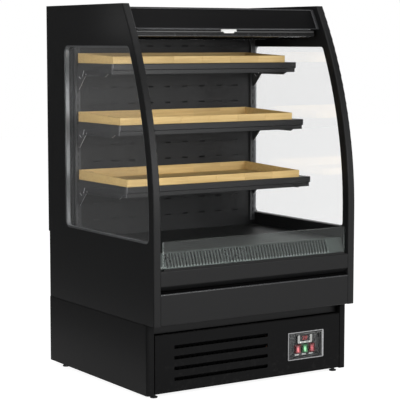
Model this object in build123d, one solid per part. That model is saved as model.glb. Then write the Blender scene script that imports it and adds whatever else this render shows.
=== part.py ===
from build123d import *
import math
import os

# Open multideck display fridge. Millimetres, +Z up, front towards -Y.
# The origin is on the floor, under the middle of the cabinet.
# Sections use two coordinates: d, the distance behind the front of the pillars, and z, the height.

os.makedirs("parts", exist_ok=True)

# ------------------------------------------------------------------ overall sizes
width = 1000.0
depth = 890.0
height = 1568.0

# ------------------------------------------------------------------ clearances
seat = 0.3              # between pieces that are screwed or laid together
running = 0.05          # radial, shafts and pins in their bores
slack = 0.4             # around pieces that move inside a pocket

# ------------------------------------------------------------------ end panels and swept front
wall = 34.0             # thickness of an end panel
pillar_round = 5.0
base_top = 302.0
seam_z = 590.0          # joint between lower and upper end panels
sweep_start = 700.0     # height where the straight pillar turns into the swept arc
sweep_radius = 1720.0
lower_end_rear = 881.0

# ------------------------------------------------------------------ side windows
window_bottom = 625.0
window_top = 1400.0
window_frame = 35.0     # from the swept front to the glass
window_rear = 728.0
window_corner = 26.0
window_lip = 6.0        # inner lip that the glass unit rests on
lip_depth = 9.0
pane = 4.0
spacer = 16.0
spacer_band = 7.0

# ------------------------------------------------------------------ machine base
sheet = 2.0
base_inset = 0.5        # base panels stand this far inside the end panels
base_half = width / 2 - base_inset
base_bottom = 14.5
base_front = 52.5
base_rear = 887.8
base_shadow_gap = 3.0   # under the body, all round
corner_post = 33.0
corner_round = 12.0
post_return = 17.2
rear_flange = 24.0
frame_tube = 25.0
frame_front = 84.0
header_low = 257.0      # the header closes the recess over the louvre panel
pan_front = 70.0
pan_wall = 24.0
foot_inset_front = 47.5
foot_inset_rear = 24.5
foot_front = 82.0
foot_rear = 785.0
foot_radius = 15.5
foot_pad = 7.0
foot_nut = 17.0
foot_stem = 5.0
foot_stem_top = 46.0
boss_radius = 12.0
boss_height = 30.0

# ------------------------------------------------------------------ louvre panel and control panel
louvre_sheet = 1.5
louvre_gap = 3.0        # beside the corner posts
louvre_half = base_half - corner_post - louvre_gap
louvre_low = 18.5
louvre_high = 254.0
louvre_flange = 17.2
slot_margin = 90.5      # from the panel's left edge
slot_length = 459.0
slot_left = -louvre_half + slot_margin
slot_right = slot_left + slot_length
slot_height = 15.0
slot_first = 70.0
slot_pitch = 43.7
slot_count = 4
blade_reach = 16.0
blade_drop = 12.5
control_margin = 87.5   # from the panel's right edge
control_width = 186.0
control_right = louvre_half - control_margin
control_left = control_right - control_width
control_low = 78.0
control_high = 196.0
bezel_width = 7.0
bezel_proud = 3.0
bezel_round = 4.0
box_inset = 4.5         # from the bezel's edge to the box behind it
box_wall = 2.0
box_depth = 19.5
cover_thickness = 2.0
cover_gap = 1.5
cover_pin = 1.2
barrel_radius = 3.0
cover_axis_drop = 12.0  # hinge axis below the top of the bezel
knuckle_width = 9.0
knuckle_inset = 38.0    # from each edge of the bezel
knuckle_x = (control_left + knuckle_inset, control_right - knuckle_inset)
controller_inset = 57.0
controller_left = control_left + controller_inset
controller_width = 76.0
controller_rise = 66.0  # above the bezel's lower edge
controller_low = control_low + controller_rise
controller_height = 36.0
controller_depth = 10.0
display_margin = 15.0
display_low = 9.0
button_radius = 3.0
button_row = 4.5        # button centres above the controller's lower edge
button_pitch = 23.0
button_length = 5.0
button_proud = 1.2
button_travel = 1.0
switch_inset = 59.6
switch_pitch = 36.6
switch_x = [control_left + switch_inset + i * switch_pitch for i in range(3)]
switch_rise = 41.5      # above the bezel's lower edge
switch_z = control_low + switch_rise
switch_body = (26.0, 38.0)
rocker_width = 22.4
rocker_half = 16.4
rocker_tilt = 6.0
rocker_pivot = 65.0
rocker_pin = 1.0        # pivot pin, held in the housing's side walls
rocker_pin_length = 0.9
switch_front = 58.0

# ------------------------------------------------------------------ insulated body
tub_front = 42.0
tub_wall = 38.0
tub_floor = 40.0
tub_top = 518.0
tub_slope = 30.0
drain_bore = 32.0
drain_place = (-300.0, 380.0)
foam_rear = 882.0
back_thickness = 50.0
roof_low = 1505.0
roof_high = 1553.0
roof_front_low = 1540.0
roof_step = 300.0

# ------------------------------------------------------------------ front rail, riser and grille
rail_face = 2.0
rail_top = 520.0
rail_low = 460.0
rail_flange = 62.0
groove_back = 36.0
rail_tuck = (24.0, 438.0)   # end of the slope under the rail's face, depth and height
panel_top = 428.0
front_bend = 3.0
channel_height = 7.0
glass_front = 8.0
glass_thickness = 6.0
glass_end_gap = 16.0    # dark gap between the riser and each pillar
glass_half = width / 2 - wall - glass_end_gap
riser_top = 635.0
grille_sheet = 1.5
grille_foot = 30.0
grille_bend = 538.0
grille_head = 82.0
deck_z = 578.0
grille_rear = 110.0
grille_slot = 7.5
grille_pitch = 14.9
grille_margin = 92.0    # plain strip at the right end; the left one is three slots narrower
grille_extra = 3
grille_last = int((width / 2 - wall - grille_margin) / grille_pitch) * grille_pitch
grille_slots = 2 * int((width / 2 - wall - grille_margin) / grille_pitch) + 1 + grille_extra
pan_rear = 688.0
pan_flange = 18.0
pan_count = 3
pan_gap = 1.0
pan_end_gap = 2.0

# ------------------------------------------------------------------ inside back, shelves and trays
panel_face = 702.0
panel_sheet = 1.5
panel_foot = 490.0
ceiling_z = 1440.0
air_slot = (30.0, 5.0)
air_margin = 60.0       # beside each upright
air_pitch = 90.0
air_rise = (71.0, 141.0)    # rows above the deck and above each shelf
air_top_gap = 30.0
upright_face = 690.0
upright_width = 24.0
upright_low = 595.0
upright_high = 1432.0
hook_pitch = 31.0
hook_slot = (4.6, 18.0)
shelf_end_gap = 7.5
shelf_half = width / 2 - wall - shelf_end_gap
shelf_sheet = 1.5
shelf_lowest = 829.5
shelf_spacing = 248.0
shelf_fronts = {"low": 261.0, "middle": 316.0, "top": 372.0}
shelf_fold = 43.0
shelf_rear_fold = 12.0
rail_depth = 14.0       # price rail, front to back
rail_nose = 24.0        # height of its upper band
rail_step = 9.0         # the lower band stands this far behind the upper one
bracket_inset = 6.5     # from the shelf's end
bracket_x = shelf_half - bracket_inset
bracket_sheet = 2.5
bracket_drop = 55.0
bracket_heel = 112.0
tray_left = -bracket_x
tray_end_gap = 49.5     # bare shelf beyond the last board
tray_right = shelf_half - tray_end_gap
tray_height = 29.5
tray_rear_height = 41.5     # the end boards rise towards the back
tray_wall = 5.0
tray_floor = 4.0
tray_boards = 6
tray_rear = 686.0
board_groove = 1.2

# ------------------------------------------------------------------ canopy, light and night blind
canopy_low = 1468.0
canopy_inset = 29.0
canopy_lip = 9.0
canopy_top_lip = 26.0
nozzle_rear = 360.0
nozzle_low = 1442.0
nozzle_height = 22.0
nozzle_wall = 2.0
nozzle_cells = 30
lamp_front = 366.0
lamp_depth = 30.0
lamp_height = 15.0
lamp_end_gap = 26.0
lamp_half = width / 2 - wall - lamp_end_gap
roller_d = 257.0
roller_z = 1486.0
roller_radius = 19.7
axle_radius = 5.0
lug_thickness = 4.0
lug_x = width / 2 - wall - 5.0 - lug_thickness
roller_end_gap = 19.0
roller_half = lug_x - roller_end_gap
lug_radius = 12.0
blind_foot_d = 20.0     # the cloth runs straight to the top of the riser
bar_end_gap = 22.0
bar_half = width / 2 - wall - bar_end_gap
bar_thickness = 14.0
bar_height = 30.0
bar_drop = 42.0         # bar centre below the point where the cloth leaves the roll
web_thickness = 0.8
web_half = roller_half - 6.0
handle_top = 76.0
handle_bottom = 44.0
handle_head = 8.0       # height of the wide upper part
handle_height = 17.0
handle_thickness = 4.0

# ------------------------------------------------------------------ refrigeration
evaporator_end_gap = 86.0
evaporator_half = width / 2 - wall - evaporator_end_gap
evaporator_front = 560.0
evaporator_depth = 130.0
evaporator_height = 124.0
condenser_margin = 99.5     # from the base's left side
condenser_width = 460.0
condenser_front = 96.0
condenser_depth = 54.0
condenser_low = 52.0
condenser_height = 200.0
fin_pitch = 24.0
fin_thickness = 2.0
fin_margin = 8.0
tube_radius = 5.0
cowl_depth = 30.0
condenser_fan_radius = 88.0
evaporator_fan_radius = 70.0
evaporator_fan_inset = 266.0    # from the inside of the end panel
evaporator_fan_x = width / 2 - wall - evaporator_fan_inset
evaporator_fan_z = 446.0
fan_plate_d = 470.0
fan_plate_top = 560.0
shaft_radius = 3.0
shaft_length = 15.0
fan_standoff = 5.0      # from the motor's arms to the hub
motor_length = 36.0
compressor_margin = 319.5   # from the base's left side
compressor_d = 500.0
compressor_radius = 84.0
compressor_height = 188.0
pipe_radius = 4.0
pipe_bend = 18.0
discharge_z = 90.0
suction_z = 100.0
pipe_side_gap = 70.0    # from the condenser and the compressor to the upright pipes
pipe_entry_drop = 60.0
electrics_margin = 99.5
electrics_width = 170.0
electrics_depth = 140.0
electrics_height = 120.0
electrics_rear_gap = 125.8
gland_inset = 70.0      # from the electrics box's right side
gland_z = 90.0
gland_wall = 3.0
gland_bore = 5.0
gland_length = 30.0
screw_radius = 4.5
screw_head = 2.0
screw_inset = 36.0      # from the edge of a panel
vent_length = 200.0
vent_height = 7.0
vent_pitch = 18.0
vent_rows = 7
vent_columns = 3
vent_margin = 105.0
vent_low = 135.5        # first row above the base's lower edge

inner_x = width / 2 - wall
liner_half = inner_x - seat
shelf_levels = {name: shelf_lowest + i * shelf_spacing for i, name in enumerate(shelf_fronts)}
condenser_box = (
    -base_half + condenser_margin, -base_half + condenser_margin + condenser_width,
    condenser_front, condenser_front + condenser_depth,
    condenser_low, condenser_low + condenser_height)
evaporator_box = (
    -evaporator_half, evaporator_half, evaporator_front, evaporator_front + evaporator_depth,
    base_top + tub_floor + seat, base_top + tub_floor + evaporator_height)
compressor_at = (-base_half + compressor_margin, compressor_d)
electrics_right = base_half - electrics_margin
gland_at = (electrics_right - gland_inset, gland_z)


# ------------------------------------------------------------------ drawing helpers
def block(x0, x1, d0, d1, z0, z1):
    """Rectangular block between two corners, with its depth measured from the pillar fronts."""
    centre = ((x0 + x1) / 2, (d0 + d1) / 2 - depth / 2, (z0 + z1) / 2)
    return Pos(*centre) * Box(x1 - x0, d1 - d0, z1 - z0)


def along_x(section, x0, x1):
    """A d-z section carried from x0 to x1."""
    return extrude(Plane.YZ.offset(x0) * Pos(-depth / 2, 0) * section, x1 - x0, dir=(1, 0, 0))


def along_y(section, d0, d1):
    """An x-z section carried backwards from d0 to d1."""
    return extrude(Plane.XZ.offset(depth / 2 - d0) * section, d1 - d0, dir=(0, 1, 0))


def along_z(section, z0, z1):
    """An x-d plan carried up from z0 to z1."""
    return extrude(Pos(0, -depth / 2, z0) * section, z1 - z0, dir=(0, 0, 1))


def polygon(*points):
    return make_face(Polyline(*points, close=True))


def rectangle(u0, u1, v0, v1, corner=0.0):
    """Rectangle between two corners, with round corners if a radius is given."""
    shape = RectangleRounded(u1 - u0, v1 - v0, corner) if corner else Rectangle(u1 - u0, v1 - v0)
    return Pos((u0 + u1) / 2, (v0 + v1) / 2) * shape


def joined(first, *others):
    """One solid from pieces that meet."""
    result = first
    for other in others:
        result = result + other
    return result


def mitred(points, distance):
    """The points of an open path moved to its left, mitred at its corners."""
    corners = [Vector(*point) for point in points]
    runs = [(b - a).normalized() for a, b in zip(corners, corners[1:])]
    moved = []
    for i, corner in enumerate(corners):
        before = runs[max(i - 1, 0)]
        after = runs[min(i, len(runs) - 1)]
        left_before = Vector(-before.Y, before.X)
        left_after = Vector(-after.Y, after.X)
        mitre = (left_before + left_after) / (1 + left_before.dot(left_after))
        moved.append(corner + mitre * distance)
    return moved, runs


def folded(points, thickness, bends=0.0):
    """Section of a folded sheet: its skin follows the points and the metal lies on the left."""
    inner, runs = mitred(points, thickness)
    corners = len(points) - 2
    bend_list = [bends] * corners if isinstance(bends, (int, float)) else list(bends)
    skin_radii = []
    inner_radii = []
    for i, bend in enumerate(bend_list):
        turns_left = runs[i].X * runs[i + 1].Y - runs[i].Y * runs[i + 1].X > 0
        grown = bend + thickness if bend else 0.0
        skin_radii.append(grown if turns_left else bend)
        inner_radii.append(bend if turns_left else grown)
    skin_line = FilletPolyline(*points, radius=skin_radii) if corners else Line(*points)
    inner_line = FilletPolyline(*inner, radius=inner_radii) if corners else Line(*inner)
    caps = [Line(points[0], inner[0]), Line(points[-1], inner[-1])]
    edges = [edge for line in (skin_line, inner_line, *caps) for edge in line.edges()]
    return make_face(edges)


def swept(z, inset=0.0):
    """Distance behind the pillar fronts of the swept front, moved in along its normal by inset."""
    if z <= sweep_start:
        return inset
    return sweep_radius - math.sqrt((sweep_radius - inset) ** 2 - (z - sweep_start) ** 2)


def swept_line(z_low, z_high, inset):
    """The front line between two heights: the straight foot, then the long arc."""
    lines = []
    if z_low < sweep_start:
        lines.append(Line((inset, z_low), (inset, sweep_start)))
    start = max(z_low, sweep_start)
    arc = [(swept(z, inset), z) for z in (start, (start + z_high) / 2, z_high)]
    lines.append(ThreePointArc(*arc))
    return lines


def swept_face(z_low, z_high, inset, rear):
    """Panel outline between two heights, from the swept front back to a straight rear edge."""
    lines = swept_line(z_low, z_high, inset)
    front_high = (swept(z_high, inset), z_high)
    front_low = (swept(z_low, inset), z_low)
    lines.append(Polyline(front_high, (rear, z_high), (rear, z_low), front_low))
    return make_face([edge for line in lines for edge in line.edges()])


def front_edges(shape):
    """The edges that follow the pillar's front, one on each side of it."""
    found = []
    for edge in shape.edges():
        ends = [edge @ 0, edge @ 0.5, edge @ 1]
        on_front = all(abs(p.Y + depth / 2 - swept(p.Z)) < 0.01 for p in ends)
        if on_front and abs(ends[0].X - ends[2].X) < 0.01:
            found.append(edge)
    return found


def other_hand(shape):
    return mirror(shape, about=Plane.YZ)


def save(name, *solids):
    shape = solids[0] if len(solids) == 1 else Compound(children=list(solids))
    export_step(shape, f"parts/{name}.step")


# ------------------------------------------------------------------ end panels and windows
def lower_end():
    """Right-hand lower end panel, with the pillar's foot rounded at the front."""
    plan = rectangle(inner_x, width / 2, 0, lower_end_rear)
    front = plan.vertices().group_by(Axis.Y)[0]
    return along_z(fillet(front, pillar_round), base_top, seam_z)


def window_face(inset):
    face = swept_face(window_bottom + inset, window_top - inset, window_frame + inset,
                      window_rear - inset)
    corners = [v for v in face.vertices() if abs(v.Y - sweep_start) > 1]
    return fillet(corners, window_corner - inset)


def upper_end():
    """Right-hand upper end panel: a deep frame with a rebate for the glass unit."""
    slab = along_x(swept_face(seam_z, height, 0, depth), inner_x, width / 2)
    slab = fillet(front_edges(slab), pillar_round)
    rebate = along_x(window_face(0), inner_x + lip_depth, width / 2)
    return slab - rebate - along_x(window_face(window_lip), inner_x, inner_x + lip_depth)


def glass_unit():
    """Two panes and the metal spacer between them, for the right-hand window."""
    outline = window_face(seat)
    first = inner_x + lip_depth
    inner_pane = along_x(outline, first, first + pane)
    outer_pane = along_x(outline, first + pane + spacer, first + 2 * pane + spacer)
    band = along_x(outline, first + pane, first + pane + spacer)
    band = band - along_x(window_face(seat + spacer_band), first + pane, first + pane + spacer)
    return [inner_pane, outer_pane], band


# ------------------------------------------------------------------ machine base
def base_side():
    """Right-hand base panel: one sheet folded round the corner post and the back."""
    outer = base_half
    points = [
        (outer - corner_post, base_front + post_return),
        (outer - corner_post, base_front),
        (outer, base_front),
        (outer, base_rear),
        (outer - rear_flange, base_rear),
    ]
    plan = folded(points, sheet, [1.0, corner_round - sheet, 1.0])
    return along_z(plan, base_bottom, base_top - base_shadow_gap)


def base_frame():
    """Floor pan, four posts and the top rails that carry the body."""
    half = base_half - sheet - seat
    rear = base_rear - sheet - seat
    low = base_bottom + sheet
    pan = block(-half, half, pan_front, rear, base_bottom, low + pan_wall)
    pan -= block(-half + sheet, half - sheet, pan_front + sheet, rear - sheet, low, low + pan_wall)
    rail_low_z = base_top - frame_tube
    plan_outer = rectangle(-half, half, frame_front, rear)
    plan_inner = rectangle(-half + frame_tube, half - frame_tube,
                           frame_front + frame_tube, rear - frame_tube)
    rails = along_z(plan_outer - plan_inner, rail_low_z, base_top)
    header = block(-half, half, frame_front, frame_front + frame_tube, header_low, rail_low_z)
    frame = joined(pan, rails, header)
    for x0 in (-half, half - frame_tube):
        for d0 in (frame_front, rear - frame_tube):
            frame += block(x0, x0 + frame_tube, d0, d0 + frame_tube, low, rail_low_z)
    for x, d in foot_places():
        frame += along_z(Pos(x, d) * Circle(boss_radius), low, low + boss_height)
    for x, d in foot_places():
        frame -= along_z(Pos(x, d) * Circle(foot_stem + running), base_bottom, low + boss_height)
    return frame


def foot_places():
    front = [(side * (base_half - foot_inset_front), foot_front) for side in (-1, 1)]
    rear = [(side * (base_half - foot_inset_rear), foot_rear) for side in (-1, 1)]
    return front + rear


def foot(x, d):
    """Levelling foot: tapered pad, lock nut and threaded stem, turned as one piece."""
    nut_top = base_bottom - seat
    profile = polygon(
        (0, 0), (foot_radius - 1, 0), (foot_radius, 1.5), (foot_radius, foot_pad - 2),
        (foot_nut / 2 - 1, foot_pad), (foot_stem, foot_pad + 1), (foot_stem, foot_stem_top - 1),
        (foot_stem - 1, foot_stem_top), (0, foot_stem_top))
    turned = revolve(Plane.XZ * profile, Axis.Z)
    nut = extrude(Pos(0, 0, foot_pad + 0.5) * RegularPolygon(foot_nut / 2, 6),
                  nut_top - foot_pad - 0.5, dir=(0, 0, 1))
    return Pos(x, d - depth / 2, 0) * joined(turned, nut)


def louvre_panel():
    """Front service panel with four slots, each with a blade pressed inwards."""
    back_face = base_front + louvre_sheet
    panel = block(-louvre_half, louvre_half, base_front, base_front + louvre_flange,
                  louvre_low, louvre_high)
    panel = fillet(panel.edges().group_by(Axis.Y)[0], 1.2)
    panel -= block(-louvre_half + louvre_sheet, louvre_half - louvre_sheet, back_face,
                   base_front + louvre_flange, louvre_low + louvre_sheet,
                   louvre_high - louvre_sheet)
    for i in range(slot_count):
        z = slot_first + i * slot_pitch
        top = z + slot_height / 2
        slot = rectangle(slot_left, slot_right, z - slot_height / 2, top, 3.0)
        panel -= along_y(slot, base_front - 1, back_face + 1)
        blade = polygon(
            (back_face, top + 1.8), (back_face, top),
            (back_face + blade_reach, top - blade_drop),
            (back_face + blade_reach + 1.1, top - blade_drop + 1.4))
        panel += along_x(blade, slot_left, slot_right)
    hole = rectangle(control_left + box_inset - seat, control_right - box_inset + seat,
                     control_low + box_inset - seat, control_high - box_inset + seat)
    return panel - along_y(hole, base_front - 1, back_face + 1)


def rear_grille():
    """Slotted cover over the back of the machine base."""
    half = base_half - rear_flange - seat
    face = base_rear - sheet
    grille = along_y(rectangle(-half, half, louvre_low, base_top - base_shadow_gap, 3.0),
                     face, face + louvre_sheet)
    slots = Sketch()
    step = (2 * half - vent_length - 2 * vent_margin) / (vent_columns - 1)
    for column in range(vent_columns):
        for row in range(vent_rows):
            x = (column - (vent_columns - 1) / 2) * step
            z = base_bottom + vent_low + row * vent_pitch
            slots += rectangle(x - vent_length / 2, x + vent_length / 2, z - vent_height / 2,
                               z + vent_height / 2, vent_height / 2 - 0.1)
    grille -= along_y(slots, face - 1, face + louvre_sheet + 1)
    gland_hole = Pos(*gland_at) * Circle(gland_bore + gland_wall + seat)
    return grille - along_y(gland_hole, face - 1, face + louvre_sheet + 1)


# ------------------------------------------------------------------ control panel
bezel_front = base_front - bezel_proud
box_back = base_front + box_depth
box_left = control_left + box_inset
box_right = control_right - box_inset
cover_axis_z = control_high - cover_axis_drop
controller_front = box_back - box_wall - controller_depth


def control_frame():
    """Bezel, the shallow box behind it, the cover's pin and the three switch housings."""
    bezel = rectangle(control_left, control_right, control_low, control_high, bezel_round)
    opening = rectangle(control_left + bezel_width, control_right - bezel_width,
                        control_low + bezel_width, control_high - bezel_width)
    frame = along_y(bezel - opening, bezel_front, base_front)
    box_low = control_low + box_inset
    box_high = control_high - box_inset
    outer = rectangle(box_left, box_right, box_low, box_high)
    inner = rectangle(box_left + box_wall, box_right - box_wall, box_low + box_wall,
                      box_high - box_wall)
    frame += along_y(outer, base_front, box_back)
    frame -= along_y(inner & opening, base_front, box_back - box_wall)
    frame += along_x(Pos(cover_pin_d(), cover_axis_z) * Circle(cover_pin),
                     box_left + box_wall / 2, box_right - box_wall / 2)
    for x in knuckle_x:
        knuckle = Pos(cover_pin_d(), cover_axis_z) * Circle(barrel_radius - slack)
        frame += along_x(knuckle, x - knuckle_width / 2, x + knuckle_width / 2)
    for x in switch_x:
        across, up = switch_body
        housing = rectangle(x - across / 2, x + across / 2, switch_z - up / 2, switch_z + up / 2,
                            3.0)
        pocket = rectangle(x - rocker_width / 2 - slack, x + rocker_width / 2 + slack,
                           switch_z - rocker_half - 1.1, switch_z + rocker_half + 1.1)
        frame += along_y(housing - pocket, switch_front, box_back - box_wall)
        frame -= along_x(Pos(rocker_pivot, switch_z) * Circle(rocker_pin + running), x - across / 2 - 1,
                         x + across / 2 + 1)
    return frame


def cover_pin_d():
    return base_front


def control_cover():
    """Clear flap with its hinge barrel, notched for the two fixed knuckles."""
    left = control_left + bezel_width + cover_gap
    right = control_right - bezel_width - cover_gap
    low = control_low + bezel_width + cover_gap
    axis = cover_pin_d()
    plate = rectangle(axis - cover_thickness / 2, axis + cover_thickness / 2, low, cover_axis_z)
    section = plate + Pos(axis, cover_axis_z) * Circle(barrel_radius)
    section -= Pos(axis, cover_axis_z) * Circle(cover_pin + running)
    cover = along_x(section, left, right)
    for x in knuckle_x:
        reach = knuckle_width / 2 + slack
        cover -= block(x - reach, x + reach, axis - 4, axis + 4, cover_axis_z - 7,
                       cover_axis_z + 7)
    return cover


def controller():
    """Temperature controller with a sunk display and a row of button holes."""
    right = controller_left + controller_width
    high = controller_low + controller_height
    back = box_back - box_wall
    body = along_y(rectangle(controller_left, right, controller_low, high, 2.5),
                   controller_front, back)
    window = rectangle(controller_left + display_margin, right - display_margin,
                       controller_low + display_low, high - 3.0, 1.0)
    body -= along_y(window, controller_front, controller_front + 1.0)
    for x, z in button_places():
        hole = Pos(x, z) * Circle(button_radius + seat)
        body -= along_y(hole, controller_front, controller_front + button_length + button_travel)
    return body


def button_places():
    middle = controller_left + controller_width / 2
    return [(middle + i * button_pitch, controller_low + button_row) for i in (-1, 0, 1)]


def button(x, z):
    front = controller_front - button_proud
    cap = along_y(Pos(x, z) * Circle(button_radius), front, front + button_length)
    return chamfer(cap.edges().group_by(Axis.Y)[0], 0.5)


def rocker(x):
    """Rocker of a switch, resting with its upper end pressed in."""
    half = rocker_half
    face = ThreePointArc((-6.5, half), (-4.6, 0), (-6.5, -half))
    rest = Polyline((-6.5, -half), (2, -half + 3), (2, half - 3), (-6.5, half))
    section = make_face([*face.edges(), *rest.edges()])
    body = extrude(Plane.YZ.offset(-rocker_width / 2) * section, rocker_width, dir=(1, 0, 0))
    body = fillet(body.edges().group_by(Axis.Y)[0].filter_by(Axis.X), 1.0)
    reach = rocker_width / 2 + rocker_pin_length
    body += extrude(Plane.YZ.offset(-reach) * Circle(rocker_pin), 2 * reach, dir=(1, 0, 0))
    tilted = Rot(-rocker_tilt, 0, 0) * body
    return Pos(x, rocker_pivot - depth / 2, switch_z) * tilted


# ------------------------------------------------------------------ insulated body
def tub():
    """Insulated well: floor and front wall in one, with a sloped drain corner."""
    floor = base_top + tub_floor
    inside = tub_front + tub_wall
    section = polygon(
        (tub_front, base_top), (foam_rear, base_top), (foam_rear, floor),
        (inside + tub_slope, floor), (inside, floor + tub_slope), (inside, tub_top),
        (tub_front, tub_top))
    x, d = drain_place
    drain = along_z(Pos(x, d) * Circle(drain_bore / 2), base_top - 1, floor + 1)
    return along_x(section, -liner_half, liner_half) - drain


def back_wall():
    return block(-liner_half, liner_half, foam_rear - back_thickness, foam_rear,
                 base_top + tub_floor, roof_low)


def roof():
    """Insulated roof, thin over the blind, with the two lugs that carry the roller."""
    inset = canopy_inset + sheet + seat
    section = polygon(
        (roof_step, roof_low), (roof_step, roof_front_low), (swept(roof_front_low, inset), roof_front_low),
        (swept(roof_high, inset), roof_high), (foam_rear, roof_high), (foam_rear, roof_low))
    slab = along_x(section, -liner_half, liner_half)
    lug = Pos(roller_d, roller_z) * Circle(lug_radius)
    lug += polygon((roller_d - lug_radius, roller_z), (roller_d + lug_radius, roller_z),
                   (roller_d + lug_radius, roof_front_low), (roller_d + 3, roof_front_low))
    lug -= Pos(roller_d, roller_z) * Circle(axle_radius + running)
    for x in (lug_x, -lug_x - lug_thickness):
        slab += along_x(lug, x, x + lug_thickness)
    return slab


# ------------------------------------------------------------------ front rail, riser and deck
def front_panel():
    points = [(tub_front - seat, base_top), (rail_face, base_top), (rail_face, panel_top),
              (tub_front - seat, panel_top)]
    section = folded(points[::-1], sheet, front_bend)
    return along_x(section, -liner_half, liner_half)


def front_rail():
    """Rail over the bumper groove, with the channel that holds the riser."""
    points = [(rail_flange, rail_top), (rail_face, rail_top), (rail_face, rail_low),
              rail_tuck, (groove_back, rail_tuck[1]), (groove_back, panel_top + seat)]
    section = folded(points, sheet, [front_bend, front_bend, 1.0, 1.0])
    rail = along_x(section, -liner_half, liner_half)
    lip = sheet + 0.5
    for d0 in (glass_front - seat - lip, glass_front + glass_thickness + seat):
        rail += block(-glass_half, glass_half, d0, d0 + lip, rail_top, rail_top + channel_height)
    return rail


def riser_glass():
    glass = block(-glass_half, glass_half, glass_front, glass_front + glass_thickness,
                  rail_top, riser_top)
    return fillet(glass.edges().group_by(Axis.Z)[-1], 1.5)


def air_grille():
    """Return-air grille: a folded sheet whose slots wrap over its lower bend."""
    points = [(grille_rear, deck_z), (grille_head, deck_z - sheet), (grille_foot, grille_bend),
              (grille_foot, rail_top + seat)]
    section = folded(points, grille_sheet, [3.0, 4.0])
    grille = along_x(section, -liner_half + seat, liner_half - seat)
    cutter = polygon(
        (grille_foot - 8, rail_top + 4), (grille_foot + 12, rail_top + 4),
        (grille_head + 1, deck_z - 16), (grille_head - 10, deck_z),
        (grille_foot - 8, grille_bend + 12))
    for i in range(grille_slots):
        x = grille_last - i * grille_pitch
        grille -= along_x(cutter, x - grille_slot / 2, x + grille_slot / 2)
    return grille


def deck_pans():
    """Lift-out deck pans, folded down on all sides."""
    half = liner_half - pan_end_gap
    pitch = 2 * half / pan_count
    pans = []
    for i in range(pan_count):
        x0 = -half + i * pitch + pan_gap / 2
        x1 = x0 + pitch - pan_gap
        pan = block(x0, x1, grille_rear + seat, pan_rear, deck_z - pan_flange, deck_z)
        pan = fillet(pan.edges().group_by(Axis.Z)[-1], 2.0)
        pans.append(pan - block(x0 + sheet, x1 - sheet, grille_rear + seat + sheet,
                                pan_rear - sheet, deck_z - pan_flange, deck_z - sheet))
    return pans


# ------------------------------------------------------------------ inside back and shelves
def inner_back_panel():
    """Perforated back panel, folded forward at the top into the ceiling sheet."""
    points = [(nozzle_rear + seat, ceiling_z), (panel_face, ceiling_z), (panel_face, panel_foot)]
    section = folded(points, panel_sheet)
    panel = along_x(section, -liner_half + seat, liner_half - seat)
    long, high = air_slot
    slots = Sketch()
    reach = bracket_x - upright_width / 2 - air_margin - long / 2
    columns = int(reach / air_pitch)
    levels = [deck_z, *shelf_levels.values()]
    rows = [level + rise for level in levels for rise in air_rise]
    for z in [row for row in rows if row < ceiling_z - air_top_gap]:
        for i in range(-columns, columns + 1):
            x = i * air_pitch
            slots += rectangle(x - long / 2, x + long / 2, z - high / 2, z + high / 2)
    return panel - along_y(slots, panel_face - 1, panel_face + panel_sheet + 1)


def uprights():
    """The two slotted channels that the shelf brackets hook into."""
    parts = []
    hook_wide, hook_high = hook_slot
    for side in (-1, 1):
        left = side * bracket_x - upright_width / 2
        right = left + upright_width
        points = [(right, panel_face - seat), (right, upright_face), (left, upright_face),
                  (left, panel_face - seat)]
        channel = along_z(folded(points[::-1], sheet), upright_low, upright_high)
        slots = Sketch()
        for z in hook_heights():
            slots += rectangle(side * bracket_x - hook_wide / 2, side * bracket_x + hook_wide / 2,
                               z - hook_high / 2, z + hook_high / 2)
        parts.append(channel - along_y(slots, upright_face - 1, upright_face + sheet + 1))
    return parts


def hook_heights():
    """Slot centres, set out from the lowest shelf so that every shelf finds its slots."""
    first = shelf_lowest - 30.0
    count_down = int((first - upright_low - 12) // hook_pitch)
    count_up = int((upright_high - 12 - first) // hook_pitch)
    return [first + i * hook_pitch for i in range(-count_down, count_up + 1)]


def shelf(front, top):
    """Shelf plate, folded down behind the price rail and at its back edge."""
    fold = front + rail_depth
    points = [(pan_rear, top - shelf_rear_fold), (pan_rear, top), (fold, top),
              (fold, top - shelf_fold)]
    section = folded(points, shelf_sheet, 1.0)
    return along_x(section, -shelf_half, shelf_half)


def price_rail(front, top):
    """Price rail: a proud upper band with a rounded nose over a set-back lower band."""
    back = front + rail_depth - seat
    low = top - shelf_fold
    nose = ThreePointArc((front + 3, top), (front + 0.9, top - 0.9), (front, top - 3))
    rest = Polyline(
        (front, top - 3), (front, top - rail_nose), (front + rail_step, top - rail_nose - 3),
        (front + rail_step, low), (back, low), (back, top), (front + 3, top))
    section = make_face([*nose.edges(), *rest.edges()])
    return along_x(section, -shelf_half, shelf_half)


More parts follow.
